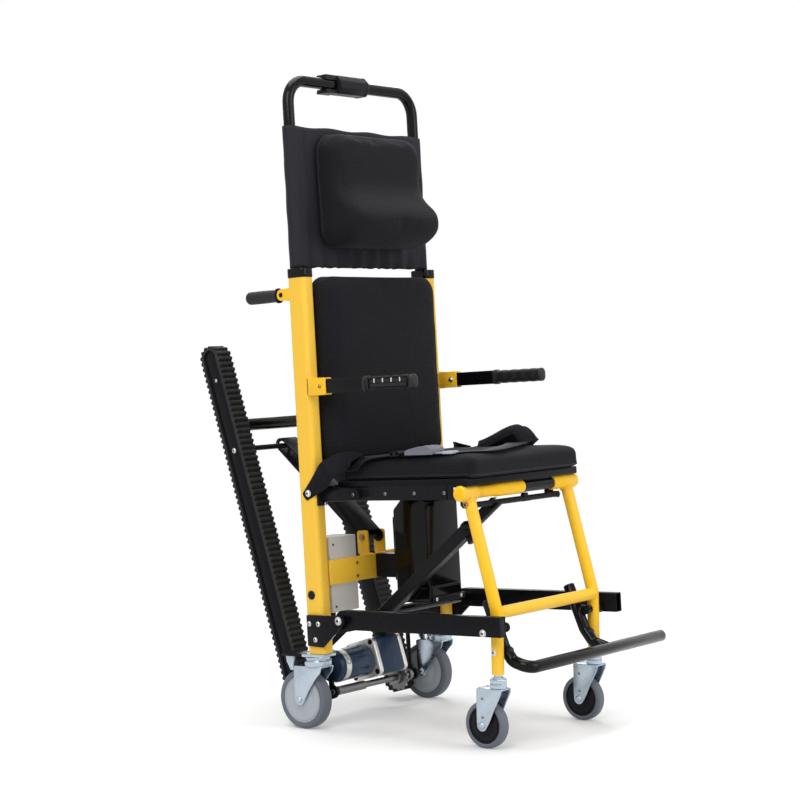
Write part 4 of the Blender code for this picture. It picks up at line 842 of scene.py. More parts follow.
def hex_bolt(body, at, out, radius=0.007, height=0.005, material=None):
    """Hexagon head with a chamfered crown, on a washer."""
    metal = material or STEEL
    r, h = radius, height
    place = aim(at, out)
    washer = [(0.0, r * 1.3), (0.001, r * 1.3), (0.0012, r * 1.25), (0.0012, TIP)]
    collect(body, metal, soften(lathe(washer, place, 24), 0))
    head = [(0.001, r), (h * 0.82, r), (h, r * 0.86), (h, TIP)]
    collect(body, metal, soften(lathe(head, place, 6), 0.0003))


def make_fasteners():
    """Make one piece of the collected small parts of each body and material."""
    slots = {BLACK_PLASTIC.name: "black_plastic", BLACK_SATIN.name: "black_paint", GRIP_RUBBER.name: "rubber"}
    for (body, finish), objs in sorted(fasteners.items()):
        name = "fasteners_" + body + "_" + finish
        piece(soften(join(objs), 0), name, body, bpy.data.materials[finish], slots.get(finish, "zinc"))


# Posts, handle and head panel

def make_posts():
    """Posts with big round edges and grip lugs, collars, and the plug in each post's outer face."""
    for word, side in SIDES.items():
        middle = side * POST_X
        post = slab(rounded_rect(POST_W, POST_D, POST_CORNER, 7, (middle, 0.0)), (POST_Z0, POST_Z1), "z")
        lugs = []
        for cheek in (-1, 1):
            x = middle + cheek * (POST_W / 2 - 0.00475)
            outline = [(POST_REAR - 0.004, REAR_LUG_Z - REAR_LUG_R - 0.002)]
            outline += arc((REAR_LUG_Y, REAR_LUG_Z), REAR_LUG_R, -85, 85, 14)
            outline += [(POST_REAR - 0.004, REAR_LUG_Z + REAR_LUG_R + 0.002)]
            lugs.append(soften(slab(outline, (x - 0.00175, x + 0.00175)), 0.0008))
            spot = (middle + cheek * (POST_W / 2 - 0.003), REAR_LUG_Y, REAR_LUG_Z)
            dome_bolt("chassis", spot, (cheek, 0, 0), 0.0040, 0.0024, BLACK_SATIN)
        post = soften(join([post] + lugs), 0)
        piece(post, "post_dressed_" + word, "chassis", YELLOW, "yellow", "post_" + word)

        low = POST_Z1 + GAP
        outline = rounded_rect(POST_W + 0.003, POST_D + 0.003, POST_CORNER + 0.0015, 7, (middle, 0.0))
        collar = slab(outline, (low - 0.003, low + CAP_H), "z")
        bore = [(-0.01, HANDLE_R + GAP), (CAP_H + 0.01, HANDLE_R + GAP)]
        cut(collar, [lathe(bore, aim((middle, HANDLE_Y, low), (0, 0, 1)), 40)])
        soften(collar, 0.0016, 3)
        piece(collar, "collar_" + word, "chassis", BLACK_GLOSS, "black_plastic", "post_cap_" + word)

        plug = [(0.0, 0.0092), (0.0010, 0.0096), (0.0024, 0.0088), (0.0036, 0.0062), (0.0034, TIP)]
        collect("chassis", BLACK_PLASTIC, lathe(plug, aim((side * POST_OUT, *POST_PLUG), (side, 0, 0)), 28))


def make_handle():
    """Bent push handle."""
    path = round_path([(-POST_X, HANDLE_Y, HANDLE_Z0), (-POST_X, HANDLE_Y, HANDLE_Z1),
                       (POST_X, HANDLE_Y, HANDLE_Z1), (POST_X, HANDLE_Y, HANDLE_Z0)], HANDLE_BEND, 16)
    bar = soften(tube(path, HANDLE_R, (0, 1, 0), 32), 0)
    piece(bar, "handle_tube", "handle", BLACK_GLOSS, "black_paint", "push_handle")


def make_control_box():
    """Hooded control box round the bar of the handle, with the drive rocker behind."""
    d, h = CONTROL_D / 2, CONTROL_H / 2
    shell = [(-d, -0.45 * h), (-0.62 * d, -h), (0.55 * d, -h), (d, -0.62 * h), (d, 0.62 * h), (0.5 * d, h),
             (-0.5 * d, h), (-d, 0.35 * h)]
    shell = [(HANDLE_Y + a, HANDLE_Z1 + b) for a, b in shell]
    case = soften(slab(shell, (WING_X1, CONTROL_X1)), 0.0022, 3, 20)
    grown = [(HANDLE_Y + (a - HANDLE_Y) * 1.03, HANDLE_Z1 + (b - HANDLE_Z1) * 1.03) for a, b in shell]
    lip = soften(slab(grown, (CONTROL_X1 - 0.012, CONTROL_X1 - 0.001)), 0.0025, 3, 20)
    wings = []
    for low, high in ((0.42, 1.0), (-1.0, -0.55)):
        outline = [(-0.55 * d, low * h), (0.9 * d, low * h), (0.75 * d, high * h), (-0.45 * d, high * h)]
        outline = [(HANDLE_Y + a, HANDLE_Z1 + b) for a, b in outline]
        wings.append(soften(slab(outline, (CONTROL_X0, WING_X1 + 0.004)), 0.0015, 2, 20))
    piece(join([case, lip] + wings), "control_hood", "handle", BLACK_PLASTIC, "black_plastic", "control_box")

    at = (ROCKER_X, HANDLE_Z1)
    face = HANDLE_Y + d
    surround = slab(rounded_rect(0.034, 0.024, 0.004, 4, at), (face - 0.001, face + 0.0022), "y")
    opening = slab(rounded_rect(0.0264, 0.0164, 0.001, 2, at), (face - 0.002, face + 0.004), "y")
    collect("handle", BLACK_PLASTIC, soften(cut(surround, [opening]), 0.0005))
    reach = 0.0068
    key = [(face - 0.0028, -reach * 0.8), (face + 0.0035, -reach), (face + 0.0022, -reach * 0.4),
           (face + 0.0016, 0.0), (face + 0.0022, reach * 0.4), (face + 0.0035, reach),
           (face - 0.0028, reach * 0.8), (face - 0.0036, 0.0)]
    key = [(a, HANDLE_Z1 + b) for a, b in key]
    rocker = soften(slab(key, (ROCKER_X - ROCKER_W / 2, ROCKER_X + ROCKER_W / 2)), 0.0006)
    piece(rocker, "rocker_key", "rocker", GREY_PLASTIC, "grey_plastic", "drive_rocker")


def stitches(spots, along, out, length=0.0038, radius=0.0005):
    """Row of short threads at the given spots, as one mesh."""
    along = Vector(along).normalized()
    rows = []
    for spot in spots:
        middle = Vector(spot) + Vector(out) * radius * 0.4
        ends = [middle - along * length / 2, middle - along * length / 3, middle + along * length / 3,
                middle + along * length / 2]
        rows.append(sweep(ends, circle(radius, 6), out, [0.4, 1.0, 1.0, 0.4]))
    return join(rows)


def panel_point(s, t, lines):
    """Point of the head panel: s runs along its cut width, t from the hem (0) to the top (1)."""
    front, wrap, tail = lines
    half = front / 2
    side = 1 if s > 0 else -1
    d = abs(s)
    if d <= half:
        x, y = side * d, PANEL_FRONT
    elif d <= half + wrap:
        angle = math.pi * (d - half) / wrap
        x = side * (POST_X + SLEEVE_R * math.sin(angle))
        y = HANDLE_Y - SLEEVE_R * math.cos(angle)
    else:
        run = (d - half - wrap) / tail
        x = side * (POST_X - run * tail)
        y = HANDLE_Y + SLEEVE_R - run * (HANDLE_Y + SLEEVE_R - PANEL_FRONT - 0.004)
    z = PANEL_Z0 + t * PANEL_H
    if d <= half:
        inside = min(1.0, 6 * (1 - d / half))
        pleat = PLEAT_DEPTH * (1 - t) ** 5 * (1 + math.sin(2 * math.pi * s / PLEAT_PITCH)) * inside
        soft = 0.0016 * math.sin(38 * s + 2.2 * t) * math.sin(math.pi * t) * inside
        y += pleat + soft
    else:
        y += 0.0007 * math.sin(23 * t + side * 2) * math.sin(math.pi * t)
    if t < 0.05:
        scallop = math.sin(2 * math.pi * s / 0.027) * (0.6 + 0.4 * math.sin(2 * math.pi * s / 0.19))
        z += 0.0011 * (1 - t / 0.05) * (1 + scallop)
    if t > 0.96:
        z += 0.0016 * (t - 0.96) / 0.04 * math.sin(2 * math.pi * s / 0.13)
    return Vector((x, y, z))


def make_head_panel():
    """One sheet of nylon, sleeved round both handle tubes and gathered along its hem."""
    lines = (2 * POST_X, math.pi * SLEEVE_R, PANEL_SEAM)
    cut_width = lines[0] + 2 * (lines[1] + lines[2])
    columns, rows = 156, 44
    verts = []
    for j in range(rows + 1):
        for i in range(columns + 1):
            verts.append(panel_point(cut_width * (i / columns - 0.5), j / rows, lines))
    width = columns + 1
    faces = [(j * width + i, j * width + i + 1, (j + 1) * width + i + 1, (j + 1) * width + i)
             for j in range(rows) for i in range(columns)]
    panel = link_mesh("panel", verts, faces)
    thick = panel.modifiers.new("thick", "SOLIDIFY")
    thick.thickness = PANEL_T
    thick.offset = 0.0
    bake(panel)
    panel.data.shade_smooth()
    piece(panel, "head_panel_cloth", "handle", NYLON, "fabric", "head_panel")
    rows_of_thread = []
    for side in SIDES.values():
        for d in (0.024, 0.030):
            spots = [panel_point(side * (POST_X - d), 0.02 + 0.0205 * k, lines) + Vector((0, -0.0007, 0))
                     for k in range(47)]
            rows_of_thread.append(stitches(spots, (0, 0, 1), (0, -1, 0)))
    spots = [panel_point(-0.2 + 0.0062 * k, 0.045, lines) + Vector((0, -0.0007, 0)) for k in range(65)]
    rows_of_thread.append(stitches(spots, (1, 0, 0), (0, -1, 0)))
    threads = piece(join(rows_of_thread), "head_panel_stitches", "handle", NYLON, "fabric")


# Cushions

def pad(width, depth, thickness, corner, crown, inset, edge):
    """Cushion lying flat on z = 0 with soft edges, drawn in by inset all round so that it can swell."""
    width, depth = width - 2 * inset, depth - 2 * inset
    rings = [(0.014, 0.0), (0.004, 0.0012), (0.0012, 0.005), (0.0, 0.011)]
    for angle in (0, 18, 36, 54, 72, 90):
        turn = math.radians(angle)
        rings.append((edge * (1 - math.cos(turn)), thickness - edge * (1 - math.sin(turn))))
    loops = []
    for back, height in rings:
        outline = rounded_rect(width - 2 * back, depth - 2 * back, max(corner - back, 0.006), 8)
        loops.append([(x, y, height) for x, y in outline])
    for share in (0.84, 0.62, 0.36, 0.12):
        rise = crown * (1 - share ** 2)
        outline = rounded_rect(width * share, depth * share, corner * share, 8)
        loops.append([(x, y, thickness + rise) for x, y in outline])
    verts = [v for loop in loops for v in loop]
    return link_mesh("pad", verts, loft_faces(len(loops[0]), len(loops)))


def inflate(obj, cap, shape=None):
    """Swell a pad by a short cloth simulation; shape bends it first, and the face it rests on stays flat."""
    remesh = obj.modifiers.new("remesh", "REMESH")
    remesh.mode = "VOXEL"
    remesh.voxel_size = VOXEL
    bake(obj)
    if shape:
        for vert in obj.data.vertices:
            shape(vert)
    rest = [vert.co.copy() for vert in obj.data.vertices]
    cloth = obj.modifiers.new("cloth", "CLOTH")
    cloth.settings.use_pressure = True
    cloth.settings.uniform_pressure_force = SWELL_PRESSURE
    cloth.settings.effector_weights.gravity = 0.0
    cloth.point_cache.frame_start = 1
    cloth.point_cache.frame_end = SWELL_FRAMES
    for number in range(1, SWELL_FRAMES + 1):
        bpy.context.scene.frame_set(number)
    bake(obj)
    bpy.context.scene.frame_set(1)
    for vert, start in zip(obj.data.vertices, rest):
        move = vert.co - start
        if move.length > cap:
            move *= cap / move.length
        move *= min(1.0, max(0.0, (start.z - 0.001) / 0.012))
        vert.co = start + move
    for vert in obj.data.vertices:
        vert.co.z = max(vert.co.z, 0.0)
    finer = obj.modifiers.new("finer", "SUBSURF")
    finer.levels = 1
    finer.render_levels = 1
    bake(obj)
    obj.data.shade_smooth()
    return obj


def skin_tree(obj):
    """Search tree of an object's skin."""
    return BVHTree.FromPolygons([v.co for v in obj.data.vertices], [p.vertices[:] for p in obj.data.polygons])


def seam(pad_obj, width, depth, corner, height, radius=0.0016, sink=0.4):
    """Piping sewn round a pad: a cord laid on its skin at a height."""
    tree = skin_tree(pad_obj)
    path = rounded_rect(width, depth, corner, 14)
    fine = []
    for (ax, ay), (bx, by) in zip(path, path[1:] + path[:1]):
        steps = max(1, int(math.hypot(bx - ax, by - ay) / 0.008))
        fine += [(ax + (bx - ax) * k / steps, ay + (by - ay) * k / steps) for k in range(steps)]
    spots = []
    for x, y in fine:
        where, normal = tree.find_nearest(Vector((x, y, height)))[:2]
        spots.append(where - normal * radius * sink)
    spots.append(spots[0])
    cord = sweep(spots, circle(radius, 8), (0, 0, 1))
    cord.data.shade_smooth()
    return cord


def neck_roll(vert):
    """Thicken the headrest low down into a roll."""
    up = vert.co.y / HEADREST_H + 0.5
    vert.co.z *= 1 + NECK_ROLL / HEADREST_T * math.exp(-abs((up - 0.22) / 0.21) ** 2.5)


def make_headrest():
    """Headrest pad with a neck roll, on the front of the head panel."""
    head = pad(HEADREST_W, HEADREST_H, HEADREST_T, HEADREST_CORNER, CROWN, HEADREST_SWELL, 0.016)
    inflate(head, HEADREST_REACH, neck_roll)
    piping = seam(head, HEADREST_W, HEADREST_H, HEADREST_CORNER, 0.008)
    middle = (0.0, PANEL_FRONT - PANEL_T, PANEL_Z0 + HEADREST_LIFT + HEADREST_H / 2)
    stand = Matrix.Translation(middle) @ UPRIGHT
    for obj in (head, piping):
        moved(obj, stand)
    piece(head, "headrest_pad", "handle", FABRIC, "fabric", "headrest_cushion")
    piece(piping, "headrest_seam", "handle", NYLON, "fabric")


def make_backrest():
    """Backrest pad, tucked flat at its foot, and the strip of cloth that hangs behind it."""
    foot = -BACKREST_H / 2 - BACKREST_SAG
    height = BACKREST_H + BACKREST_SAG + BACKREST_TUCK
    back = pad(BACKREST_W, height, BACKREST_T, BACKREST_CORNER, CROWN, SWELL, 0.016)
    moved(back, Matrix.Translation((0.0, -(BACKREST_SAG + BACKREST_TUCK) / 2, 0.0)))
    inflate(back, SWELL_REACH)
    for vert in back.data.vertices:
        vert.co.y = max(vert.co.y, foot)
    stand = Matrix.Translation((0.0, 0.0, BACKREST_Z0 + BACKREST_H / 2)) @ UPRIGHT
    piping = seam(back, BACKREST_W, BACKREST_H, BACKREST_CORNER, 0.012)
    for obj in (back, piping):
        moved(obj, stand)
    piece(back, "backrest_pad", "chassis", FABRIC, "fabric", "backrest_cushion")
    piece(piping, "backrest_seam", "chassis", NYLON, "fabric")
    valance = box((-VALANCE_X, VALANCE_X), (-0.010, -0.006), (VALANCE_Z0, BACKREST_Z0 + 0.03))
    piece(soften(valance, 0.0015, 2), "backrest_valance", "chassis", NYLON, "fabric")


def make_seat_pad():
    """Seat pad on its pan."""
    seat = inflate(pad(SEAT_W, SEAT_L, SEAT_T, SEAT_CORNER, CROWN, SWELL, 0.014), SWELL_REACH)
    place = Matrix.Translation((0.0, SEAT_Y0 - SEAT_L / 2, PAN_TOP + GAP))
    piping = seam(seat, SEAT_W, SEAT_L, SEAT_CORNER, 0.0035)
    for obj in (seat, piping):
        moved(obj, place)
    piece(seat, "seat_pad", "seat", FABRIC, "fabric", "seat_cushion")
    piece(piping, "seat_seam", "seat", NYLON, "fabric")
    return seat


# Seat frame, brackets, front frame and footrest

def make_seat_frame():
    """Seat pan, side rails with their screws, front tube and the bar that catches the brace."""
    pan = soften(box((-RAIL_OUT, RAIL_OUT), (PAN_Y1, SEAT_Y0), (PAN_Z0 - 0.004, PAN_TOP)), 0.0035, 4)
    parts = [pan]
    lug_y = FRONT_TUBE[0] + TEE_R
    bar_y, bar_z = CATCH_BAR
    hook = [(lug_y, PAN_Z0 + 0.004), (lug_y + 0.020, PAN_Z0 + 0.004), (lug_y + 0.020, bar_z - 0.001),
            (lug_y + 0.014, bar_z - 0.007), (bar_y - 0.003, bar_z - 0.007), (bar_y - 0.006, bar_z),
            (bar_y - 0.003, bar_z + 0.0065), (lug_y, bar_z + 0.0065)]
    for side in SIDES.values():
        rail = [(RAIL_OUT - 0.001, RAIL_Z0), (RAIL_OUT - 0.001, PAN_Z0 + 0.004),
                (RAIL_OUT - RAIL_T, PAN_Z0 + 0.004), (RAIL_OUT - RAIL_T, PAN_Z0 - 0.001),
                (RAIL_OUT - 0.004, PAN_Z0 - 0.001), (RAIL_OUT - 0.004, RAIL_Z0 + 0.003),
                (RAIL_OUT - RAIL_T, RAIL_Z0 + 0.003), (RAIL_OUT - RAIL_T, RAIL_Z0)]
        parts.append(soften(slab([(side * a, b) for a, b in rail], (RAIL_Y1, RAIL_Y0), "y"), 0.0009))
        parts.append(soften(slab(hook, span(side, CATCH_BAR_X - 0.006, CATCH_BAR_X)), 0.001))
        parts.append(rod_x(side * (RAIL_OUT - 0.008), side * (SEAT_EAR_X1 + 0.0025), SEAT_PIVOT, 0.005))
        parts.append(rod_x(side * (RAIL_OUT - 0.001), side * (SEAT_EAR_X0 - GAP), SEAT_PIVOT, 0.009))
        pin = (side * (SEAT_EAR_X1 + 0.0004), *SEAT_PIVOT)
        dome_bolt("seat", pin, (side, 0, 0), 0.0038, 0.0030, DARK_STEEL)
        end = box(span(side, RAIL_OUT - 0.004, RAIL_OUT - 0.001), (RAIL_Y1 - 0.0135, RAIL_Y1 + 0.004),
                  (RAIL_Z0, PAN_Z0))
        parts.append(soften(end, 0.0009))
        for y in RAIL_SCREWS:
            spot = (side * (RAIL_OUT - 0.001), y, SEAT_PIVOT[1])
            dome_bolt("seat", spot, (side, 0, 0), 0.0030, 0.0022, DARK_STEEL)
    parts.append(rod_x(-CATCH_BAR_X + 0.001, CATCH_BAR_X - 0.001, CATCH_BAR, CATCH_BAR_R))
    gusset = box((0.020, 0.108), (FRONT_TUBE[0] - 0.006, FRONT_TUBE[0] + 0.006),
                 (FRONT_TUBE[1], PAN_Z0 + 0.004))
    parts.append(soften(gusset, 0.001))
    tab = [(0.014, 0.456), (0.044, 0.456), (0.034, 0.474), (0.022, 0.474)]
    parts.append(soften(slab(tab, (CATCH_BAR[0] - 0.0045, CATCH_BAR[0] + 0.0045), "y"), 0.0012))
    piece(join(parts), "seat_pan", "seat", BLACK_SATIN, "black_paint", "seat_frame")
    bar = rod_x(-SLEEVE_OUT + 0.004, SLEEVE_OUT - 0.004, FRONT_TUBE, FRONT_TUBE_R, 36)
    cover = rod_x(SLEEVE_GAP[0] + 0.001, SLEEVE_GAP[1] - 0.0005, FRONT_TUBE, FRONT_COVER_R, 36)
    piece(soften(join([bar, cover]), 0), "seat_front_tube", "seat", BLACK_GLOSS, "black_paint")


def make_seat_brackets():
    """Brackets that carry the seat pivot on the post fronts."""
    y, z = SEAT_PIVOT
    front = POST_FRONT - GAP
    for word, side in SIDES.items():
        outline = [(front - 0.003, z - 0.015), (front - 0.003, z + 0.022)] + arc((y, z), 0.0125, 80, 280, 18)
        web = soften(slab(outline, span(side, SEAT_EAR_X0, SEAT_EAR_X1)), 0.001)
        foot = box(span(side, POST_IN + 0.004, POST_OUT - 0.004), (front - 0.005, front),
                   (z - 0.022, z + 0.026))
        ear = join([soften(foot, 0.0012), web])
        piece(ear, "seat_ear_" + word, "chassis", BLACK_SATIN, "black_paint", "seat_bracket_" + word)
        for dz in (-0.018, 0.018):
            spot = (side * (POST_IN + 0.0085), front - 0.005, z + dz)
            dome_bolt("chassis", spot, (0, -1, 0), 0.0036, 0.0026)


def weld(at, axis, radius, bead=0.0022):
    """Rippled weld bead round a tube."""
    sides = 40
    place = aim(at, axis)
    ring = []
    for k in range(sides):
        angle = 2 * math.pi * k / sides
        swell = radius + bead * (0.25 + 0.12 * math.sin(9 * angle))
        ring.append(place @ Vector((0.0, swell * math.cos(angle), swell * math.sin(angle))))
    ring.append(ring[0])
    obj = sweep(ring, circle(bead, 8), axis)
    obj.data.shade_smooth()
    return obj


def make_front_frame():
    """Yellow front frame: bent legs, crossbar, T sleeves with closed ends, weld beads."""
    knee_y, knee_z = LEG_KNEE
    end_y = knee_y - (LEG_END_Z - knee_z) * math.tan(LEAN)
    bore = FRONT_TUBE_R + GAP
    start, end = SLEEVE_GAP
    right = [(-SLEEVE_OUT, bore), (-SLEEVE_OUT, TEE_SKIN_R), (-0.153, TEE_SKIN_R), (-0.150, 0.0150),
             (-0.147, 0.0128), (-0.098, 0.0124), (-0.086, 0.0132), (-0.078, 0.0142), (-0.070, 0.0144),
             (0.004, 0.0144), (0.0095, 0.0136), (start, 0.0112), (start, bore)]
    left = [(end, bore), (end, 0.0145), (end + 0.002, 0.0152), (0.149, 0.0152), (0.150, TEE_SKIN_R),
            (SLEEVE_OUT, TEE_SKIN_R), (SLEEVE_OUT, bore)]
    parts = [rod_x(-LEG_X, LEG_X, (knee_y, knee_z - 0.003), LEG_R - 0.0002, 36)]
    lid = [(-0.002, TIP), (-0.002, 0.0156), (0.0015, 0.0156), (0.0035, 0.0142), (0.0048, 0.0105),
           (0.0052, TIP)]
    for side, profile in ((-1, right), (1, left)):
        x = side * LEG_X
        path = round_path([(x, *FRONT_TUBE), (x, knee_y, knee_z), (x, end_y, LEG_END_Z)], 0.06, 10)
        leg = tube(path, LEG_R, (1, 0, 0), 32)
        cut(leg, [rod_x(x - 0.03, x + 0.03, FRONT_TUBE, bore + 0.0005, 32)])
        parts += [leg, lathe(profile, Matrix.Translation((0.0, *FRONT_TUBE)), 40, True)]
        parts.append(lathe(lid, aim((side * SLEEVE_OUT, *FRONT_TUBE), (side, 0, 0)), 40))
        down = (Vector((x, knee_y, knee_z)) - Vector((x, *FRONT_TUBE))).normalized()
        parts.append(weld(Vector((x, *FRONT_TUBE)) + down * (TEE_R - 0.001), down, LEG_R))
        inside = (x - side * (LEG_R - 0.001), knee_y, knee_z - 0.003)
        parts.append(weld(inside, (side, 0, 0), LEG_R - 0.001, 0.0018))
        low_bolt = (side * (LEG_X + LEG_R - 0.0008), *LEG_BOLT_LOW)
        dome_bolt("front_frame", low_bolt, (side, 0, 0), 0.0050, 0.0035)
        high_bolt = (side * (LEG_X + LEG_R - 0.0012), *LEG_BOLT_HIGH)
        dome_bolt("front_frame", high_bolt, (side, 0, 0), 0.0056, 0.0040, BRASS)
    piece(soften(join(parts), 0), "front_frame_tubes", "front_frame", YELLOW, "yellow", "front_frame")


def make_footrest():
    """Footrest tube with domed ends, pivot ears and rubber bumpers."""
    bar_y, bar_z = FOOT_BAR
    knee = (FOOT_PIVOT[0] + 0.006, FOOT_PIVOT[1] - 0.040)
    arm = [FOOT_TOP, knee, (knee[0] - 0.020, bar_z + 0.012), (bar_y, bar_z)]
    right = [(-FOOT_X, y, z) for y, z in arm] + [(FOOT_BAR_END - 0.004, bar_y, bar_z)]
    left = [(FOOT_X, y, z) for y, z in arm]
    parts = [tube(round_path(right, 0.022, 10), FOOT_R, (1, 0, 0), 32, 0.004),
             tube(round_path(left, 0.020, 10), FOOT_R - 0.0004, (1, 0, 0), 32, 0.004)]
    rise = (FOOT_PIVOT[1] - knee[1]) / (FOOT_TOP[1] - knee[1])
    beside = (knee[0] + rise * (FOOT_TOP[0] - knee[0]), FOOT_PIVOT[1])
    for side in SIDES.values():
        ear = slab(capsule(FOOT_PIVOT, beside, 0.010), span(side, FOOT_X - 0.003, FOOT_X + 0.003))
        parts += [soften(ear, 0.001), rod_x(side * FOOT_X, side * (LEG_X - LEG_R - GAP), FOOT_PIVOT, 0.008)]
        bumper = [(0.0, 0.0075), (0.002, 0.0078), (0.006, 0.0070), (0.0085, 0.005), (0.009, TIP)]
        spot = (side * FOOT_X, knee[0] - 0.012, knee[1] - 0.006)
        collect("footrest", GRIP_RUBBER, lathe(bumper, aim(spot, (side * 0.15, -0.98, 0.15)), 26))
        pin = (side * (FOOT_X - 0.003), *FOOT_PIVOT)
        dome_bolt("footrest", pin, (-side, 0, 0), 0.006, 0.004, BLACK_SATIN)
    piece(soften(join(parts), 0), "footrest_tube", "footrest", BLACK_GLOSS, "black_paint", "footrest")


# Base, brace and middle

def make_base():
    """Box-section base rails, their hinge plates with bolts, and the axle."""
    y, z = BASE_PIVOT
    half = BASE_RAIL_H / 2
    drop = z - (LEG_PIVOT[1] + 0.0125)
    low = z - drop - half
    high = z - drop + half
    for word, side in SIDES.items():
        limits = span(side, BASE_RAIL_X, BASE_RAIL_X + BASE_RAIL_T)
        outline = [(BASE_RAIL_Y1, low), *arc((y, z), half, -90, 90, 18), (BASE_RAIL_Y1, high)]
        rail = slab(outline, limits)
        hollow = box((limits[0] + 0.002, limits[1] - 0.002), (BASE_RAIL_Y1 - 0.01, BASE_RAIL_Y1 + 0.05),
                     (low + 0.002, high - 0.002))
        cut(rail, [hollow])
        parts = [soften(rail, 0.0016, 3)]
        parts.append(rod_x(side * (BASE_RAIL_X + 0.004), side * (LEG_X + LEG_R + 0.0015), LEG_PIVOT, 0.009))
        piece(join(parts), "base_tube_" + word, "base", BLACK_SATIN, "black_paint", "base_rail_" + word)
        dome_bolt("base", (side * (BASE_RAIL_X + BASE_RAIL_T), *LEG_PIVOT), (side, 0, 0), 0.0062, 0.0040)
        if side < 0:
            plug = box((limits[0] + 0.0021, limits[1] - 0.0021),
                       (BASE_RAIL_Y1 + 0.0006, BASE_RAIL_Y1 + 0.012), (low + 0.0021, high - 0.0021))
            collect("base", BLACK_PLASTIC, soften(plug, 0.0012))

        inner = POST_OUT + GAP
        plate = [(POST_REAR - 0.007, HINGE_Z0 + 0.002), (POST_REAR - 0.007, z + 0.010)]
        plate += arc(BASE_PIVOT, HINGE_R, 136, 205, 14)
        plate += [(POST_FRONT - 0.003, HINGE_Z0)]
        cover = soften(slab(plate, span(side, inner, inner + HINGE_T)), 0.0012, 2)
        piece(cover, "hinge_cover_" + word, "chassis", BLACK_SATIN, "black_paint", "hinge_plate_" + word)
        face = side * (inner + HINGE_T)
        for spot in HINGE_BOLTS:
            dome_bolt("chassis", (face, *spot), (side, 0, 0), 0.0044, 0.0032)
        dome_bolt("chassis", (face, *BASE_PIVOT), (side, 0, 0), 0.0070, 0.0042)
    axle = [rod_x(-POST_OUT, POST_OUT, BASE_PIVOT, 0.006)]
    for a, b in AXLE_SPACERS:
        axle.append(rod_x(a, b, BASE_PIVOT, 0.0092))
    piece(join(axle), "base_axle_tube", "chassis", BLACK_GLOSS, "black_paint", "base_axle")


def make_brace():
    """Telescopic brace of square tube with a clamp collar, a lever and a forked top."""
    foot = Vector((BRACE_X, *BASE_PIVOT))
    top = Vector((BRACE_X, *CATCH_BAR))
    along = (top - foot).normalized()
    out = Vector((0.0, -along.z, along.y))
    half = BRACE_W / 2
    wide = CATCH_BAR_R + 0.0025

    def square(size, start, end, corner=0.003):
        """Square tube between two distances from the foot."""
        ends = [foot + along * start, foot + along * end]
        return sweep(ends, rounded_rect(size, size, corner, 4), (1, 0, 0))

    reach = (top - foot).length
    lower = square(BRACE_W, -half, KNOB_AT + 0.012)
    cut(lower, [rod_x(BRACE_X - 0.03, BRACE_X + 0.03, BASE_PIVOT, 0.0064)])
    upper = square(BRACE_W - 0.005, KNOB_AT - 0.01, reach + 0.012)
    notch = [(-0.03, -wide), (0.03, -wide), (0.03, wide), (-0.03, wide)]
    mouth = sweep([top - along * wide, top + along * 0.03], notch, (1, 0, 0))
    beyond = Vector((0, *FRONT_TUBE)) + along * 0.03
    clear = slab(capsule(FRONT_TUBE, tuple(beyond.yz), 0.0188), (BRACE_X - 0.03, BRACE_X + 0.03))
    cut(upper, [mouth, clear])
    collar = square(BRACE_W + 0.003, KNOB_AT + 0.004, KNOB_AT + 0.018)
    parts = [soften(lower, 0), soften(upper, 0.0006), soften(collar, 0.0012)]
    piece(join(parts), "brace_tubes", "brace", BLACK_SATIN, "black_paint", "brace")
    side = Vector((-1, 0, 0))
    spot = foot + along * (KNOB_AT + 0.011) + side * (half + 0.001)
    bends = [spot, spot + side * 0.004 + along * 0.006, spot + side * 0.006 + along * 0.022 + out * 0.006,
             spot + side * 0.005 + along * 0.036 + out * 0.010]
    lever = sweep(bends, rounded_rect(0.010, 0.005, 0.002, 3), (0, 1, 0))
    collect("brace", BLACK_PLASTIC, soften(lever, 0.0006))
    hex_bolt("brace", spot, side, 0.005, 0.004, BLACK_SATIN)
    make_knob(foot + along * KNOB_AT + out * half, out)


def make_knob(foot, out):
    """Fluted pull knob with its stem, standing on the brace."""
    place = aim(foot + out * GAP, out)
    profile = [(0.0, 0.0078), (0.0015, 0.0085), (0.004, 0.0088), (0.011, KNOB_R), (0.0128, KNOB_R - 0.0006),
               (0.014, 0.0085), (0.0143, TIP)]
    knob = lathe(profile, Matrix.Identity(4), KNOB_FLUTES * 6)
    for vert in knob.data.vertices:
        turn = math.atan2(vert.co.z, vert.co.y)
        grip = 0.0009 * max(0.0, math.cos(KNOB_FLUTES * turn)) if 0.003 < vert.co.x < 0.0135 else 0.0
        radius = math.hypot(vert.co.y, vert.co.z)
        if radius > 0.004:
            vert.co.y *= 1 - grip / radius
            vert.co.z *= 1 - grip / radius
    moved(knob, place)
    stem = lathe([(-0.008, 0.0036), (-0.0076, 0.004), (0.003, 0.004), (0.003, TIP)], place, 20)
    knob = soften(join([knob, stem]), 0)
    piece(knob, "pull_knob", "brace_knob", BLACK_PLASTIC, "black_plastic", "brace_knob")


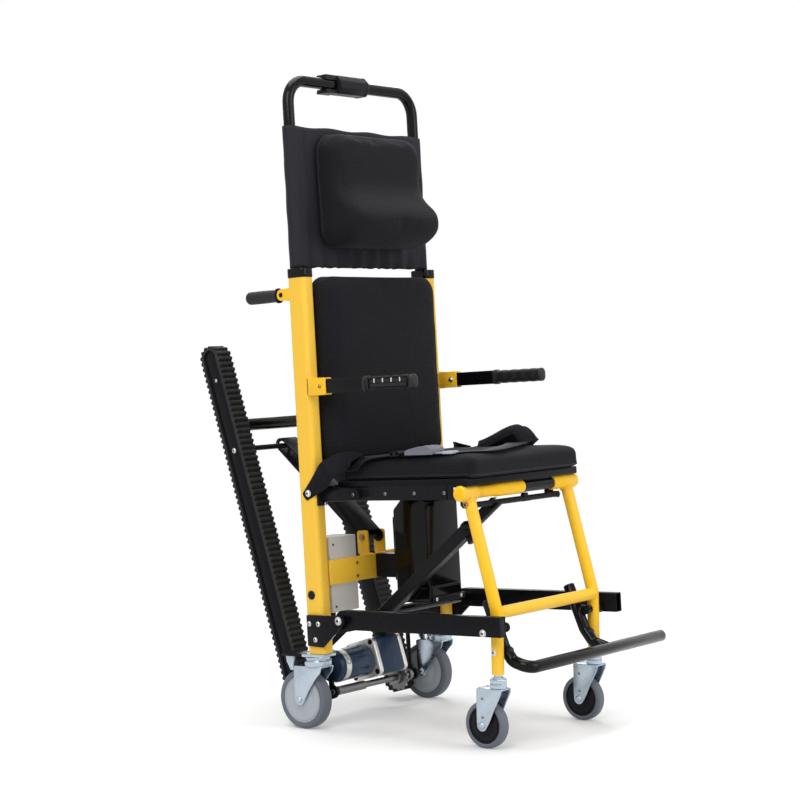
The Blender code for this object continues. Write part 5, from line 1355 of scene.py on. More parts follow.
def make_cross_plate():
    """Cross plate between the posts, bent in the middle, with its clevis ears."""
    t = PLATE_T / 2
    end = POST_IN - GAP
    right, left = PLATE_Y_RIGHT, PLATE_Y_LEFT
    outline = [(-end, right - t), (-0.005, right - t), (0.020, left - t), (end, left - t), (end, left + t),
               (0.0175, left + t), (-0.0075, right + t), (-end, right + t)]
    plate = slab(outline, (PLATE_Z0, PLATE_Z1), "z")
    # Two flush bronze discs stand where the plate has two holes: painted shade of the holes.
    for z in (0.3375, 0.3095):
        dome_bolt("chassis", (-0.102, right - t, z), (0, -1, 0), 0.0030, 0.0012, BRASS)
    parts = [soften(plate, 0.0012, 2)]
    y, z = CLEVIS_PIVOT
    inner = STRUT_W / 2 + GAP
    for side, rear in ((-1, right), (1, left)):
        ear = [(rear, PLATE_Z0 + 0.008), (rear + 0.010, PLATE_Z0 + 0.008), (y + 0.015, PLATE_Z1)]
        ear += arc((y + 0.009, z + 0.008), 0.006, 0, 90, 6) + arc((y - 0.009, z + 0.008), 0.006, 90, 180, 6)
        ear += [(y - 0.015, PLATE_Z1), (rear, PLATE_Z1 - 0.002)]
        parts.append(soften(slab(ear, span(side, inner, inner + 0.005)), 0.0012, 2))
    piece(join(parts), "cross_bracket", "chassis", YELLOW, "yellow", "cross_plate")


def make_battery():
    """Battery case with a cut-back top, on its shelf and its dock."""
    w = BATTERY_W / 2
    rim_corner = 0.0128
    side_view = [(BATTERY_Y0, BATTERY_Z0), (BATTERY_Y1, BATTERY_Z0), (BATTERY_Y1, BATTERY_Z1 - 0.028),
                 (BATTERY_Y1 - 0.028, BATTERY_Z1), (BATTERY_Y0 + 0.008, BATTERY_Z1),
                 (BATTERY_Y0, BATTERY_Z1 - 0.008)]
    case = soften(slab(side_view, (-w, w)), 0.005, 4)
    middle = (0.0, (BATTERY_Y0 + BATTERY_Y1) / 2)
    outline = rounded_rect(BATTERY_W + 0.0016, BATTERY_Y1 - BATTERY_Y0 + 0.0016, rim_corner, 6, middle)
    rim = soften(slab(outline, (BATTERY_Z0 + 0.026, BATTERY_Z0 + 0.032), "z"), 0.0012, 2)
    piece(join([case, rim]), "battery_shell", "chassis", BLACK_GLOSS, "black_plastic", "battery_case")
    shelf = box((-w + 0.006, w + 0.004), (BATTERY_Y0 - 0.004, BATTERY_Y1 + 0.004),
                (BATTERY_Z0 - 0.0036, BATTERY_Z0 - 0.0004))
    lip = box((-w + 0.006, w + 0.004), (BATTERY_Y0 - 0.004, BATTERY_Y0 - 0.001),
              (BATTERY_Z0 - 0.0036, BATTERY_Z0 + 0.009))
    shelf = join([soften(shelf, 0.0008), soften(lip, 0.0008)])
    piece(shelf, "battery_shelf", "chassis", BLACK_SATIN, "black_paint")
    for x in (-w + 0.018, w - 0.010):
        dome_bolt("chassis", (x, BATTERY_Y0 - 0.004, BATTERY_Z0 + 0.003), (0, -1, 0), 0.0032, 0.0022)

    face = BATTERY_Y1 + GAP
    plate_face = PLATE_Y_RIGHT - PLATE_T / 2
    plate = box((-DOCK_X, DOCK_X), (face, face + DOCK_T), (DOCK_Z0, DOCK_Z1))
    arm = box((-0.040, -0.012), (face + DOCK_T - 0.002, plate_face - GAP), (DOCK_Z0, PLATE_Z1))
    tab = box((-w + 0.004, -0.040), (face + 0.001, face + 0.004), (0.296, 0.426))
    dock = [soften(plate, 0.0015, 2), soften(arm, 0.0012), soften(tab, 0.0008)]
    piece(join(dock), "battery_mount", "chassis", BLACK_SATIN, "black_paint", "battery_dock")


def make_controller():
    """Controller box in two halves, with its screws and cable glands."""
    x0, x1, y0, y1 = CONTROLLER_X0, CONTROLLER_X1, CONTROLLER_Y0, CONTROLLER_Y0 + CONTROLLER_D
    split = y0 + CONTROLLER_D * 0.62
    parts = [soften(box((x0, x1), (y0, split - 0.0004), (CONTROLLER_Z0, CONTROLLER_Z1)), 0.0016, 3)]
    parts.append(soften(box((x0 + 0.0012, x1 - 0.0012), (split - 0.003, split + 0.003),
                            (CONTROLLER_Z0 + 0.0012, CONTROLLER_Z1 - 0.0012)), 0.0008))
    parts.append(soften(box((x0, x1), (split + 0.0004, y1), (CONTROLLER_Z0, CONTROLLER_Z1)), 0.0016, 3))
    piece(join(parts), "controller_shell", "chassis", BEIGE, "beige", "controller_box")
    for z in (CONTROLLER_Z0 + 0.012, CONTROLLER_Z1 - 0.016):
        dome_bolt("chassis", (x0 + 0.012, y0 + 0.0002, z), (0, -1, 0), 0.0020, 0.0010, BLACK_SATIN)
        for x in (x0 + 0.010, x1 - 0.010):
            dome_bolt("chassis", (x, y1 - 0.0002, z), (0, 1, 0), 0.0032, 0.0018)
    gland = [(0.0, 0.0085), (0.003, 0.0085), (0.003, 0.0075), (0.011, 0.007), (0.013, 0.004), (0.013, TIP)]
    for x in (-0.150, -0.120):
        collect("chassis", BLACK_PLASTIC,
                lathe(gland, aim((x, y0 + 0.03, CONTROLLER_Z0 + 0.0004), (0, 0, -1)), 24))


# Arms and rear grips

def make_arm_grip(side):
    """Moulded grip with finger waves, a framed recess on its outer side and ribs in it, made of bright metal
    as a painted highlight.
    """
    z = ARM_PIVOT[1]
    start, end = ARM_BAR_END + 0.002, ARM_GRIP_END
    length = start - end
    path, sizes = [], []
    steps = 60
    for i in range(steps + 1):
        t = i / steps
        wave = 1.0 - 0.055 * (0.5 - 0.5 * math.cos(2 * math.pi * 5 * t)) * min(1.0, 10 * t, 10 * (1 - t))
        nose = math.sqrt(max(0.05, 1 - max(0.0, (t - 0.955) / 0.05) ** 2))
        sizes.append(wave * nose)
        path.append((side * ARM_X, start - length * t, z))
    body = sweep(path, rounded_rect(0.0245, 0.0294, 0.0095, 6), (1, 0, 0), sizes)
    body.data.shade_smooth()
    flange = sweep([(side * ARM_X, start + 0.001, z), (side * ARM_X, start - 0.007, z)],
                   rounded_rect(0.0285, 0.0325, 0.010, 6), (1, 0, 0))
    face = ARM_X + 0.0112
    y0, y1 = end + 0.012, start - 0.014
    bars = []
    for low, high in ((z + 0.0095, z + 0.0118), (z - 0.0118, z - 0.0095), (z - 0.0005, z + 0.0012)):
        bars.append(box(span(side, face, face + 0.0032), (y0, y1), (low, high)))
    for a, b in ((y0, y0 + 0.0045), (y1 - 0.003, y1)):
        bars.append(box(span(side, face, face + 0.0032), (a, b), (z - 0.0118, z + 0.0118)))
    rim = join([soften(bar, 0.0006) for bar in bars])
    # The ribs are bright metal: a painted highlight for the light that glossy ribs catch.
    ribs = []
    for k in range(4):
        y = y0 + (y1 - y0) * (k + 0.8) / 4.6
        rib = box(span(side, face, face + 0.0028), (y - 0.0016, y + 0.0016), (z + 0.001, z + 0.0098))
        ribs.append(soften(rib, 0.0006))
    return join([body, soften(flange, 0.0015, 3)]), rim, join(ribs)


def make_arms():
    """Armrests: yellow clevis bracket on the post, flat bar and moulded grip."""
    y, z = ARM_PIVOT
    front = POST_FRONT - GAP
    near = ARM_X - ARM_T / 2 - GAP
    far = ARM_X + ARM_T / 2 + GAP
    for word, side in SIDES.items():
        body = "arm_" + word
        foot = box(span(side, POST_IN + 0.008, far + 0.003), (front - 0.005, front), (z - 0.0190, z + 0.0190))
        parts = [soften(foot, 0.0012)]
        nose = y - 0.0155
        cheek = [(front - 0.001, z - 0.0180), (front - 0.001, z + 0.0180)]
        cheek += arc((nose + 0.004, z + 0.014), 0.004, 90, 180, 6)
        cheek += arc((nose + 0.004, z - 0.014), 0.004, 180, 270, 6)
        for limits in ((near - 0.003, near), (far, far + 0.003)):
            parts.append(soften(slab(cheek, span(side, *limits)), 0.0008))
        piece(join(parts), "arm_clevis_" + word, "chassis", YELLOW, "yellow", "arm_bracket_" + word)
        dome_bolt("chassis", (side * (far + 0.0029), y, z), (side, 0, 0), 0.0036, 0.0026, BRASS)
        hex_bolt("chassis", (side * (near - 0.0029), y, z), (-side, 0, 0), 0.0050, 0.004)
        for dz in (-0.0125, 0.0125):
            spot = (side * (POST_IN + 0.0135), front - 0.005, z + dz)
            dome_bolt("chassis", spot, (0, -1, 0), 0.0032, 0.0022)

        outline = arc((y, z), ARM_H / 2, -90, 90, 18)
        outline += [(ARM_BAR_END, z + ARM_H / 2), (ARM_BAR_END, z - ARM_H / 2)]
        bar = soften(slab(outline, span(side, ARM_X - ARM_T / 2, ARM_X + ARM_T / 2)), 0.0022, 3)
        piece(bar, "arm_bar_" + word, body, BLACK_GLOSS, "black_paint", "arm_" + word)
        grip, rim, ribs = make_arm_grip(side)
        piece(grip, "arm_handle_" + word, body, GRIP_RUBBER, "rubber", "arm_grip_" + word)
        piece(rim, "arm_handle_rim_" + word, body, BLACK_GLOSS, "black_plastic")
        # The grip's ribs get bright metal, as a painted highlight.
        piece(ribs, "arm_handle_ribs_" + word, body, ALUMINIUM, "zinc")


def make_rear_grips():
    """Carrying grips behind the posts: tongue, flange and smooth rubber sleeve."""
    y, z = REAR_LUG_Y, REAR_LUG_Z
    half = POST_W / 2 - 0.0068
    for word, side in SIDES.items():
        x = side * POST_X
        tongue = arc((y, z), 0.010, 90, 270, 14) + [(y + 0.020, z - 0.010), (y + 0.020, z + 0.010)]
        start = y + 0.016
        length = REAR_GRIP_END - start
        profile = [(0.0, TIP), (0.0, 0.0150), (0.0012, 0.0160), (0.004, 0.0160), (0.0052, 0.0142)]
        for k in range(1, 13):
            t = k / 12
            swell = 0.0132 + 0.0007 * t + 0.0004 * math.sin(math.pi * t)
            profile.append((0.0056 + (length - 0.0150) * t, swell))
        profile += [(length - 0.006, 0.0138), (length - 0.0025, 0.0122), (length - 0.0006, 0.0085),
                    (length, TIP)]
        grip = soften(lathe(profile, aim((x, start, z), (0, 1, 0)), 36), 0)
        grip = join([grip, soften(slab(tongue, (x - half, x + half)), 0.001)])
        body = "rear_grip_" + word
        piece(grip, "rear_handle_" + word, body, GRIP_RUBBER, "black_plastic", "rear_grip_" + word)


# Drive and tracks

def make_axle_frame():
    """Cross beam between the posts, with the motor's saddle and the hangers of the drive shaft."""
    reach = POST_IN - GAP
    y, z = SHAFT
    saddle_z = MOTOR[1] + GEARBOX_W / 2 + 0.009
    parts = [soften(box((-reach, reach), (-BEAM_D / 2, BEAM_D / 2), (BEAM_Z0, BEAM_Z1)), 0.0025, 3)]
    saddle = box((0.010, 0.060), (BEAM_D / 2 - 0.010, SADDLE_Y1), (saddle_z, BEAM_Z0 + 0.008))
    parts.append(soften(saddle, 0.0015, 2))
    hanger = [(HANGER_Y0, BEAM_Z0 + 0.004), (HANGER_Y1, BEAM_Z0 + 0.004), (y + 0.012, BEAM_Z0 - 0.030),
              (y + 0.012, z - 0.006), (y + 0.009, z - 0.010), (y - 0.007, z - 0.010), (y - 0.0095, z - 0.006),
              (y + 0.002, z + 0.024), (y + 0.002, BEAM_Z0 - 0.034)]
    for side in SIDES.values():
        parts.append(soften(slab(hanger, span(side, HANGER_X + 0.007, HANGER_X + 0.012)), 0.001))
    piece(join(parts), "axle_frame", "chassis", BLACK_SATIN, "black_paint", "axle_beam")


def make_motor():
    """Gear motor: round can with a silver band, and a gearbox between two plates, turned about that axis."""
    my, mz = MOTOR
    w = GEARBOX_W / 2
    centre = Matrix.Translation((0.0, my, mz))
    roll = centre @ Matrix.Rotation(-MOTOR_LEAN, 4, "X") @ Matrix.Translation((0.0, -my, -mz))
    length = FLANGE_X0 - MOTOR_X0
    can = [(0.0, TIP), (0.0, 0.026), (0.002, MOTOR_R - 0.003), (0.006, MOTOR_R - 0.0008), (0.012, MOTOR_R),
           (length - 0.004, MOTOR_R), (length - 0.002, MOTOR_R - 0.001), (length, MOTOR_R - 0.003),
           (length, TIP)]
    place = aim((MOTOR_X0, my, mz), (1, 0, 0))
    piece(soften(lathe(can, place, 56), 0), "motor_can", "chassis", BLUE, "blue", "motor")
    case = box((GEARBOX_X0, GEARBOX_X1 - 0.011), (my - w + 0.001, my + w - 0.001),
               (mz - w + 0.001, mz + w - 0.001))
    piece(moved(soften(case, 0.005, 4), roll), "gear_case", "chassis", BLUE, "blue", "gearbox")
    band = [(BAND_X0, MOTOR_R - 0.001), (BAND_X0, MOTOR_R + 0.0008), (BAND_X1, MOTOR_R + 0.0008),
            (BAND_X1, MOTOR_R - 0.001)]
    metal = [soften(lathe(band, place, 56, True), 0)]
    for x0, x1 in ((FLANGE_X0, GEARBOX_X0), (GEARBOX_X1 - 0.011, GEARBOX_X1)):
        plate = soften(slab(rounded_rect(GEARBOX_W, GEARBOX_W, 0.012, 6, MOTOR), (x0, x1)), 0.0012, 2)
        metal.append(moved(plate, roll))
    piece(join(metal), "gear_flanges", "chassis", ALUMINIUM, "zinc")
    turn = math.radians(198)
    away = Vector((0.0, math.cos(turn), -math.sin(turn)))
    spot = Vector((MOTOR_X0 + (BAND_X0 + BAND_X1) / 2, my, mz)) + away * (MOTOR_R - 0.001)
    # A black dished disc stands at the hole in the silver band: painted shade of the hole.
    hole_shade = [(0.0, 0.0062), (0.0022, 0.0062), (0.0024, 0.0054), (0.0010, 0.0048), (0.0010, TIP)]
    collect("chassis", BLACK_PLASTIC, lathe(hole_shade, aim(spot, away), 24))
    for a in (-1, 1):
        for b in (-1, 1):
            corner = roll @ Vector((0.0, my + a * (w - 0.009), mz + b * (w - 0.009)))
            dome_bolt("chassis", (FLANGE_X0, *corner.yz), (-1, 0, 0), 0.0048, 0.0024, BLACK_SATIN)
            dome_bolt("chassis", (GEARBOX_X1, *corner.yz), (1, 0, 0), 0.0042, 0.0032)


def make_shaft():
    """Drive shaft with its sprocket and the sleeves on it."""
    y, z = SHAFT
    end = TRACK_X - BELT_W / 2 - 0.0005
    shaft = [rod_x(-end, end, SHAFT, SHAFT_R, 36)]
    shaft.append(rod_x(SPROCKET_X - 0.010, SPROCKET_X + 0.0005, SHAFT, 0.0155, 36))
    piece(soften(join(shaft), 0), "drive_axle", "drive_shaft", DARK_STEEL, "zinc", "drive_shaft")
    tooth = ((0.02, 0.86), (0.22, 0.89), (0.36, 0.985), (0.46, 1.0), (0.56, 1.0), (0.66, 0.985), (0.80, 0.89))
    teeth = []
    for k in range(SPROCKET_TEETH):
        for share, radius in tooth:
            angle = 2 * math.pi * (k + share) / SPROCKET_TEETH
            reach = SPROCKET_R * radius
            teeth.append((y + reach * math.cos(angle), z + reach * math.sin(angle)))
    wheel = soften(slab(teeth, (SPROCKET_X, SPROCKET_X + 0.006)), 0.0007)
    piece(wheel, "drive_sprocket", "drive_shaft", DARK_STEEL, "zinc")
    cover = [rod_x(-HANGER_X + 0.0015, -HANGER_X + 0.090, SHAFT, 0.0095, 32)]
    cover.append(rod_x(HANGER_X - 0.0105, HANGER_X - 0.0006, SHAFT, 0.0125, 32))
    piece(soften(join(cover), 0), "shaft_cover", "drive_shaft", DARK_STEEL, "zinc")


def belt_outline():
    """Loop round both pulleys with a rounded rib at each pitch."""
    low, high = Vector(PULLEY_LOW), Vector(PULLEY_HIGH)
    radius = BELT_R - BELT_TREAD
    along = high - low
    run = along.length
    unit = along / run
    normal = Vector((unit.y, -unit.x))
    length = 2 * run + 2 * math.pi * radius
    count = round(length / BELT_PITCH)
    ribs = ((0.0, 0.0), (0.18, 0.05), (0.26, 0.55), (0.34, 0.9), (0.46, 1.0), (0.62, 1.0), (0.74, 0.9),
            (0.82, 0.55), (0.90, 0.05))
    points = []
    for k in range(count):
        for share, rise in ribs:
            s = length * (k + share) / count
            r = radius + BELT_TREAD * rise
            if s < run:
                spot = low + unit * s + normal * r
            elif s < run + math.pi * radius:
                angle = (s - run) / radius
                spot = high + (normal * math.cos(angle) + unit * math.sin(angle)) * r
            elif s < 2 * run + math.pi * radius:
                spot = high - unit * (s - run - math.pi * radius) - normal * r
            else:
                angle = (s - 2 * run - math.pi * radius) / radius
                spot = low - (normal * math.cos(angle) + unit * math.sin(angle)) * r
            points.append(tuple(spot))
    return points


def ring_slab(outer, inner_low, inner_high, inner_radius, limits):
    """Belt loop: a ribbed outside and a smooth inside, with flat edges."""
    count = len(outer)
    lean = Vector(inner_high) - Vector(inner_low)
    unit = lean.normalized()
    inside = []
    for spot in outer:
        t = max(0.0, min(lean.length, (Vector(spot) - Vector(inner_low)).dot(unit)))
        core = Vector(inner_low) + unit * t
        inside.append(tuple(core + (Vector(spot) - core).normalized() * inner_radius))
    verts = []
    for x in limits:
        verts += [(x, a, b) for a, b in outer]
        verts += [(x, a, b) for a, b in inside]
    faces = []
    for i in range(count):
        j = (i + 1) % count
        a, b, c, d = i, j, count + j, count + i
        e, f, g, h = (2 * count + k for k in (a, b, c, d))
        faces += [(a, b, c, d), (e, f, g, h), (a, b, f, e), (d, c, g, h)]
    return link_mesh("belt", verts, faces)


def make_tracks():
    """Crawler tracks: channel side frames with bolts, ribbed belts, cross tube and rod."""
    inner = TRACK_X - BELT_W / 2 - 0.0015
    outer = TRACK_X + BELT_W / 2 - 0.0035
    hollow = BELT_R - BELT_T
    unit = (Vector(PULLEY_HIGH) - Vector(PULLEY_LOW)).normalized()
    across = Vector((unit.y, -unit.x))
    outline = belt_outline()
    for word, side in SIDES.items():
        web = slab(capsule(PULLEY_LOW, PULLEY_HIGH, hollow - GAP, 24), span(side, inner, outer))
        parts = [soften(web, 0.0012, 2)]
        for edge in (-1, 1):
            a = Vector(PULLEY_LOW) + across * edge * (hollow - 0.0022)
            b = Vector(PULLEY_HIGH) + across * edge * (hollow - 0.0022)
            lip = slab(capsule(tuple(a), tuple(b), 0.0018, 6), span(side, outer - 0.001, outer + 0.0016))
            parts.append(soften(lip, 0.0005))
        ear = slab(capsule(SHAFT, PULLEY_LOW, 0.014, 18), span(side, inner - 0.006, inner + 0.001))
        parts.append(soften(ear, 0.001))
        cut(ear, [rod_x(side * (inner - 0.02), side * (inner + 0.005), SHAFT, SHAFT_R + GAP)])
        piece(join(parts), "track_side_" + word, "tracks", BLACK_SATIN, "black_paint", "track_frame_" + word)
        for share, radius in ((0.065, 0.0030), (0.273, 0.0045)):
            spot = Vector(PULLEY_HIGH) * (1 - share) + Vector(PULLEY_LOW) * share
            dome_bolt("tracks", (side * outer, *spot), (side, 0, 0), radius, 0.0028)
        belt = ring_slab(outline, PULLEY_LOW, PULLEY_HIGH, hollow,
                         span(side, TRACK_X - BELT_W / 2, TRACK_X + BELT_W / 2))
        piece(soften(belt, 0), "track_tread_" + word, "tracks", BELT_RUBBER, "rubber", "track_belt_" + word)
    reach = inner - GAP
    bar = soften(rod_x(-reach, reach, CROSS_TUBE, CROSS_TUBE_R, 40), 0)
    piece(bar, "cross_bar", "tracks", BLACK_GLOSS, "black_paint", "track_cross_tube")
    rod = soften(rod_x(-reach, reach, TRACK_ROD, TRACK_ROD_R, 32), 0)
    piece(rod, "strut_rod", "tracks", BLACK_SATIN, "zinc", "track_rod")


def make_strut():
    """Box strut, open at its foot, from the clevis to the slotted end on the track rod."""
    low = Vector((0.0, *CLEVIS_PIVOT))
    high = Vector((0.0, *TRACK_ROD))
    along = (high - low).normalized()
    over = Vector((0.0, -along.z, along.y))
    half = STRUT_W / 2
    top = high + along * 0.005
    outline = capsule(CLEVIS_PIVOT, tuple(top.yz), STRUT_D / 2, 16)
    wide = TRACK_ROD_R + 0.0042
    start = high - along * (0.066 - wide)
    parts = []
    for side in SIDES.values():
        cheek = slab(outline, span(side, half - 0.003, half))
        slot = slab(capsule(tuple(start.yz), TRACK_ROD, wide, 12), span(side, half - 0.02, half + 0.02))
        parts.append(soften(cut(cheek, [slot]), 0.0009))
    skin = [(-half + 0.001, 0.0), (half - 0.001, 0.0), (half - 0.001, 0.003), (-half + 0.001, 0.003)]
    for way in (-1, 1):
        sheet = sweep([low + along * 0.006, top + along * 0.006], skin, (1, 0, 0))
        moved(sheet, Matrix.Translation(over * (way * (STRUT_D / 2 - 0.0015) + 0.0015)))
        parts.append(soften(sheet, 0.0008))
    parts.append(rod_x(-half - 0.0083, half + 0.0083, CLEVIS_PIVOT, 0.005))
    piece(join(parts), "strut_channel", "strut", BLACK_SATIN, "black_paint", "track_strut")
    for side in SIDES.values():
        hex_bolt("strut", (side * (half + 0.0055), *CLEVIS_PIVOT), (side, 0, 0), 0.0066, 0.005, BRASS)


# Casters

def make_wheel(name, body, place, radius, width, hub_radius, hub_material, slot, boss):
    """Tyre with rounded shoulders and a hub with turned rings."""
    half = width / 2
    seat = hub_radius + GAP
    side = [(-half + 0.0012, seat), (-half + 0.0003, seat + 0.0016), (-half, radius - 0.0068),
            (-half + 0.0010, radius - 0.0030), (-half + 0.0030, radius - 0.0009), (-half + 0.0062, radius)]
    profile = side + [(-a, r) for a, r in reversed(side)]
    tyre = soften(lathe(profile, Matrix.Identity(4), 80, True), 0)
    piece(tyre, name + "_tread", body, TYRE, "grey_tyre", name + "_tyre", place=place)
    disc = half - 0.002
    rim = hub_radius
    ring = [(disc - 0.001, rim), (disc + 0.0004, rim - 0.0006), (disc + 0.0004, rim - 0.0024),
            (disc - 0.0010, rim - 0.0030), (disc - 0.0010, rim - 0.0046), (disc, rim - 0.0052),
            (disc, rim * 0.62), (disc - 0.0006, rim * 0.60), (disc - 0.0006, rim * 0.57), (disc, rim * 0.55),
            (disc + 0.0002, 0.0135), (disc + 0.0010, 0.0115), (boss, 0.0108), (boss, 0.0044)]
    hub = [(-a, r) for a, r in ring] + [(a, r) for a, r in reversed(ring)]
    shape = soften(lathe(hub, Matrix.Identity(4), 64, True), 0)
    piece(shape, name + "_disc", body, hub_material, slot, name + "_hub", place=place)


def make_fork(crown, axle, plate_x, front):
    """Pressed fork about x = 0: a crown plate, and cheeks with the given front curve down to the axle."""
    y, z = axle
    rise = crown - z
    nose = front[-1][0]
    curve = [(0.0, y - ahead, z + up * rise) for ahead, up in [(0.012, -0.05)] + list(front)]
    outline = [(y - nose + 0.002, crown), (y + FORK_BACK - 0.003, crown), (y + FORK_BACK, crown - 0.003),
               (y + FORK_BACK, z + 0.006)]
    outline += arc(axle, 0.012, 10, -160, 16)
    outline += [tuple(point.yz) for point in smooth_path(curve, 6)][1:]
    parts = []
    for side in SIDES.values():
        parts.append(soften(slab(outline, span(side, plate_x, plate_x + FORK_T)), 0.0010, 2))
    plate = box((-plate_x - 0.002, plate_x + 0.002), (y - nose + 0.002, y + FORK_BACK - 0.001),
                (crown - 0.004, crown - 0.0003))
    parts.append(soften(plate, 0.0014, 2))
    nut = [(0.0, 0.0082), (0.0008, 0.0082), (0.0010, 0.0070), (0.0030, 0.0066), (0.0044, 0.0050),
           (0.0050, 0.0025), (0.0051, TIP)]
    for side in SIDES.values():
        parts.append(soften(lathe(nut, aim((side * (plate_x + 0.0028), *axle), (side, 0, 0)), 28), 0))
    return parts


def make_rear_casters():
    """Rear casters on a plate under each post, with a stacked race and big light hubs."""
    axle_z = REAR_WHEEL_R / math.cos(LEAN) + REAR_AXLE_Y * math.tan(LEAN) - GROUND_DROP
    axle = (REAR_AXLE_Y, axle_z)
    plate_x = REAR_WHEEL_W / 2 + 0.003
    high = POST_Z0 - GAP
    low = high - REAR_PLATE_T
    deep = low - REAR_CROWN_Z
    race = [(0.0, TIP), (0.0, 0.0250), (0.0008, 0.0262), (0.0046, 0.0262), (0.0056, 0.0245),
            (0.0072, 0.0245), (0.0080, 0.0282), (0.0092, 0.0292), (0.0160, 0.0292), (0.0186, 0.0284),
            (0.0205, 0.0262), (deep + 0.0035, 0.0235), (deep + 0.0035, TIP)]
    for word, side in SIDES.items():
        parts = make_fork(REAR_CROWN_Z, axle, plate_x, REAR_FORK_CURVE)
        parts.append(soften(lathe(race, aim((0.0, REAR_STEM_Y - 0.006, low), (0, 0, -1)), 56), 0))
        parts = [moved(join(parts), Matrix.Translation((side * POST_X, 0.0, 0.0)))]
        limits = span(side, REAR_PLATE_X, POST_OUT + 0.006)
        parts.append(soften(box(limits, (POST_FRONT, 0.036), (low, high)), 0.0016, 3))
        lug = [(0.062, low + 0.001), (0.086, low + 0.001), (0.084, low - 0.012), (0.074, low - 0.030),
               (0.066, low - 0.030)]
        parts.append(soften(slab(lug, span(side, POST_OUT - 0.004, POST_OUT + 0.001)), 0.0016, 2))
        piece(soften(join(parts), 0), "rear_caster_" + word, "chassis", ZINC, "zinc", "rear_fork_" + word)
        tail = box(limits, (0.0362, REAR_PLATE_Y1), (low + 0.0005, high))
        piece(soften(tail, 0.0014, 2), "rear_caster_plate_" + word, "chassis", BLACK_SATIN, "black_paint")
        place = CHAIR @ Matrix.Translation((side * POST_X, *axle))
        make_wheel("rear_" + word, "rear_wheel_" + word, place, REAR_WHEEL_R, REAR_WHEEL_W, REAR_HUB_R,
                   LIGHT_HUB, "grey_plastic", plate_x - GAP)


def make_front_casters():
    """Front swivel casters with neck, hexagon block, riveted fork and black hubs."""
    end_y = LEG_KNEE[0] - (LEG_END_Z - LEG_KNEE[1]) * math.tan(LEAN)
    leg_end = Vector((0.0, end_y, LEG_END_Z))
    height = leg_end.dot(WORLD_UP) + GROUND_DROP * math.cos(LEAN)
    floor_spot = leg_end - WORLD_UP * height
    plate_x = FRONT_WHEEL_W / 2 + 0.003
    top = height - GAP - NECK_H - NUT_H
    axle = (FRONT_TRAIL, FRONT_WHEEL_R)
    block = [(0.0, TIP), (0.0, 0.0172), (0.0010, NUT_R), (0.0088, NUT_R), (0.0094, 0.0170),
             (0.0104, 0.0170), (0.0110, NUT_R), (NUT_H - 0.0014, NUT_R), (NUT_H, 0.0168), (NUT_H, TIP)]
    neck = [(0.0, TIP), (0.0, 0.0118), (0.0026, 0.0118), (0.0032, 0.0108), (0.0032, 0.0085),
            (NECK_H, 0.0085), (NECK_H, 0.0060), (NECK_H + 0.025, 0.0060), (NECK_H + 0.025, TIP)]
    for word, side in SIDES.items():
        body = "front_caster_" + word
        place = Matrix.Translation(CHAIR @ (floor_spot + Vector((side * LEG_X, 0, 0))))
        parts = make_fork(top, axle, plate_x, FRONT_FORK_CURVE)
        parts.append(soften(lathe(block, aim((0, 0, top - 0.0003), (0, 0, 1)), 6), 0.0004))
        parts.append(soften(lathe(neck, aim((0, 0, top + NUT_H - 0.0003), (0, 0, 1)), 32), 0))
        fork = soften(join(parts), 0)
        piece(fork, "front_caster_" + word, body, ZINC, "zinc", "front_fork_" + word, place=place)
        rise = top - axle[1]
        rivet = [(0.0, 0.0030), (0.0008, 0.0028), (0.0014, 0.0018), (0.0016, TIP)]
        heads = []
        for face in SIDES.values():
            for share in (0.22, 0.72):
                spot = (face * (plate_x + FORK_T), axle[0] - 0.002, axle[1] + share * rise)
                heads.append(lathe(rivet, aim(spot, (face, 0, 0)), 18))
        rivets = soften(join(heads), 0)
        piece(rivets, "front_caster_rivets_" + word, body, DARK_STEEL, "zinc", place=place)
        wheel_place = place @ Matrix.Translation((0.0, *axle))
        make_wheel("front_" + word, "front_wheel_" + word, wheel_place, FRONT_WHEEL_R, FRONT_WHEEL_W,
                   FRONT_HUB_R, BLACK_PLASTIC, "black_plastic", plate_x - GAP)


# Lap belt

def ribbon(path, faces_out, width, thickness, widths=None):
    """Flat strap along a path, with the way its face looks and the share of its width at each point."""
    half, t = width / 2, thickness / 2
    section = [(-half, -t * 0.4), (-half * 0.96, -t), (half * 0.96, -t), (half, -t * 0.4), (half, t * 0.4),
               (half * 0.96, t), (0.0, t * 1.2), (-half * 0.96, t), (-half, t * 0.4)]
    verts, marks = [], []
    run = 0.0
    for i, point in enumerate(path):
        ahead = path[min(i + 1, len(path) - 1)]
        behind = path[max(i - 1, 0)]
        tangent = (ahead - behind).normalized()
        face = (faces_out[i] - tangent * faces_out[i].dot(tangent)).normalized()
        across = tangent.cross(face)
        run += (point - behind).length if i else 0.0
        share = widths[i] if widths else 1.0
        for a, b in section:
            verts.append(point + across * a * share + face * b)
            marks.append((a / width + 0.5, run / width))
    obj = link_mesh("strap", verts, loft_faces(len(section), len(path)))
    layer = obj.data.uv_layers.new(name="along")
    for loop in obj.data.loops:
        layer.data[loop.index].uv = marks[loop.vertex_index]
    obj.data.shade_smooth()
    obj.data.set_sharp_from_angle(angle=math.radians(50))
    return obj


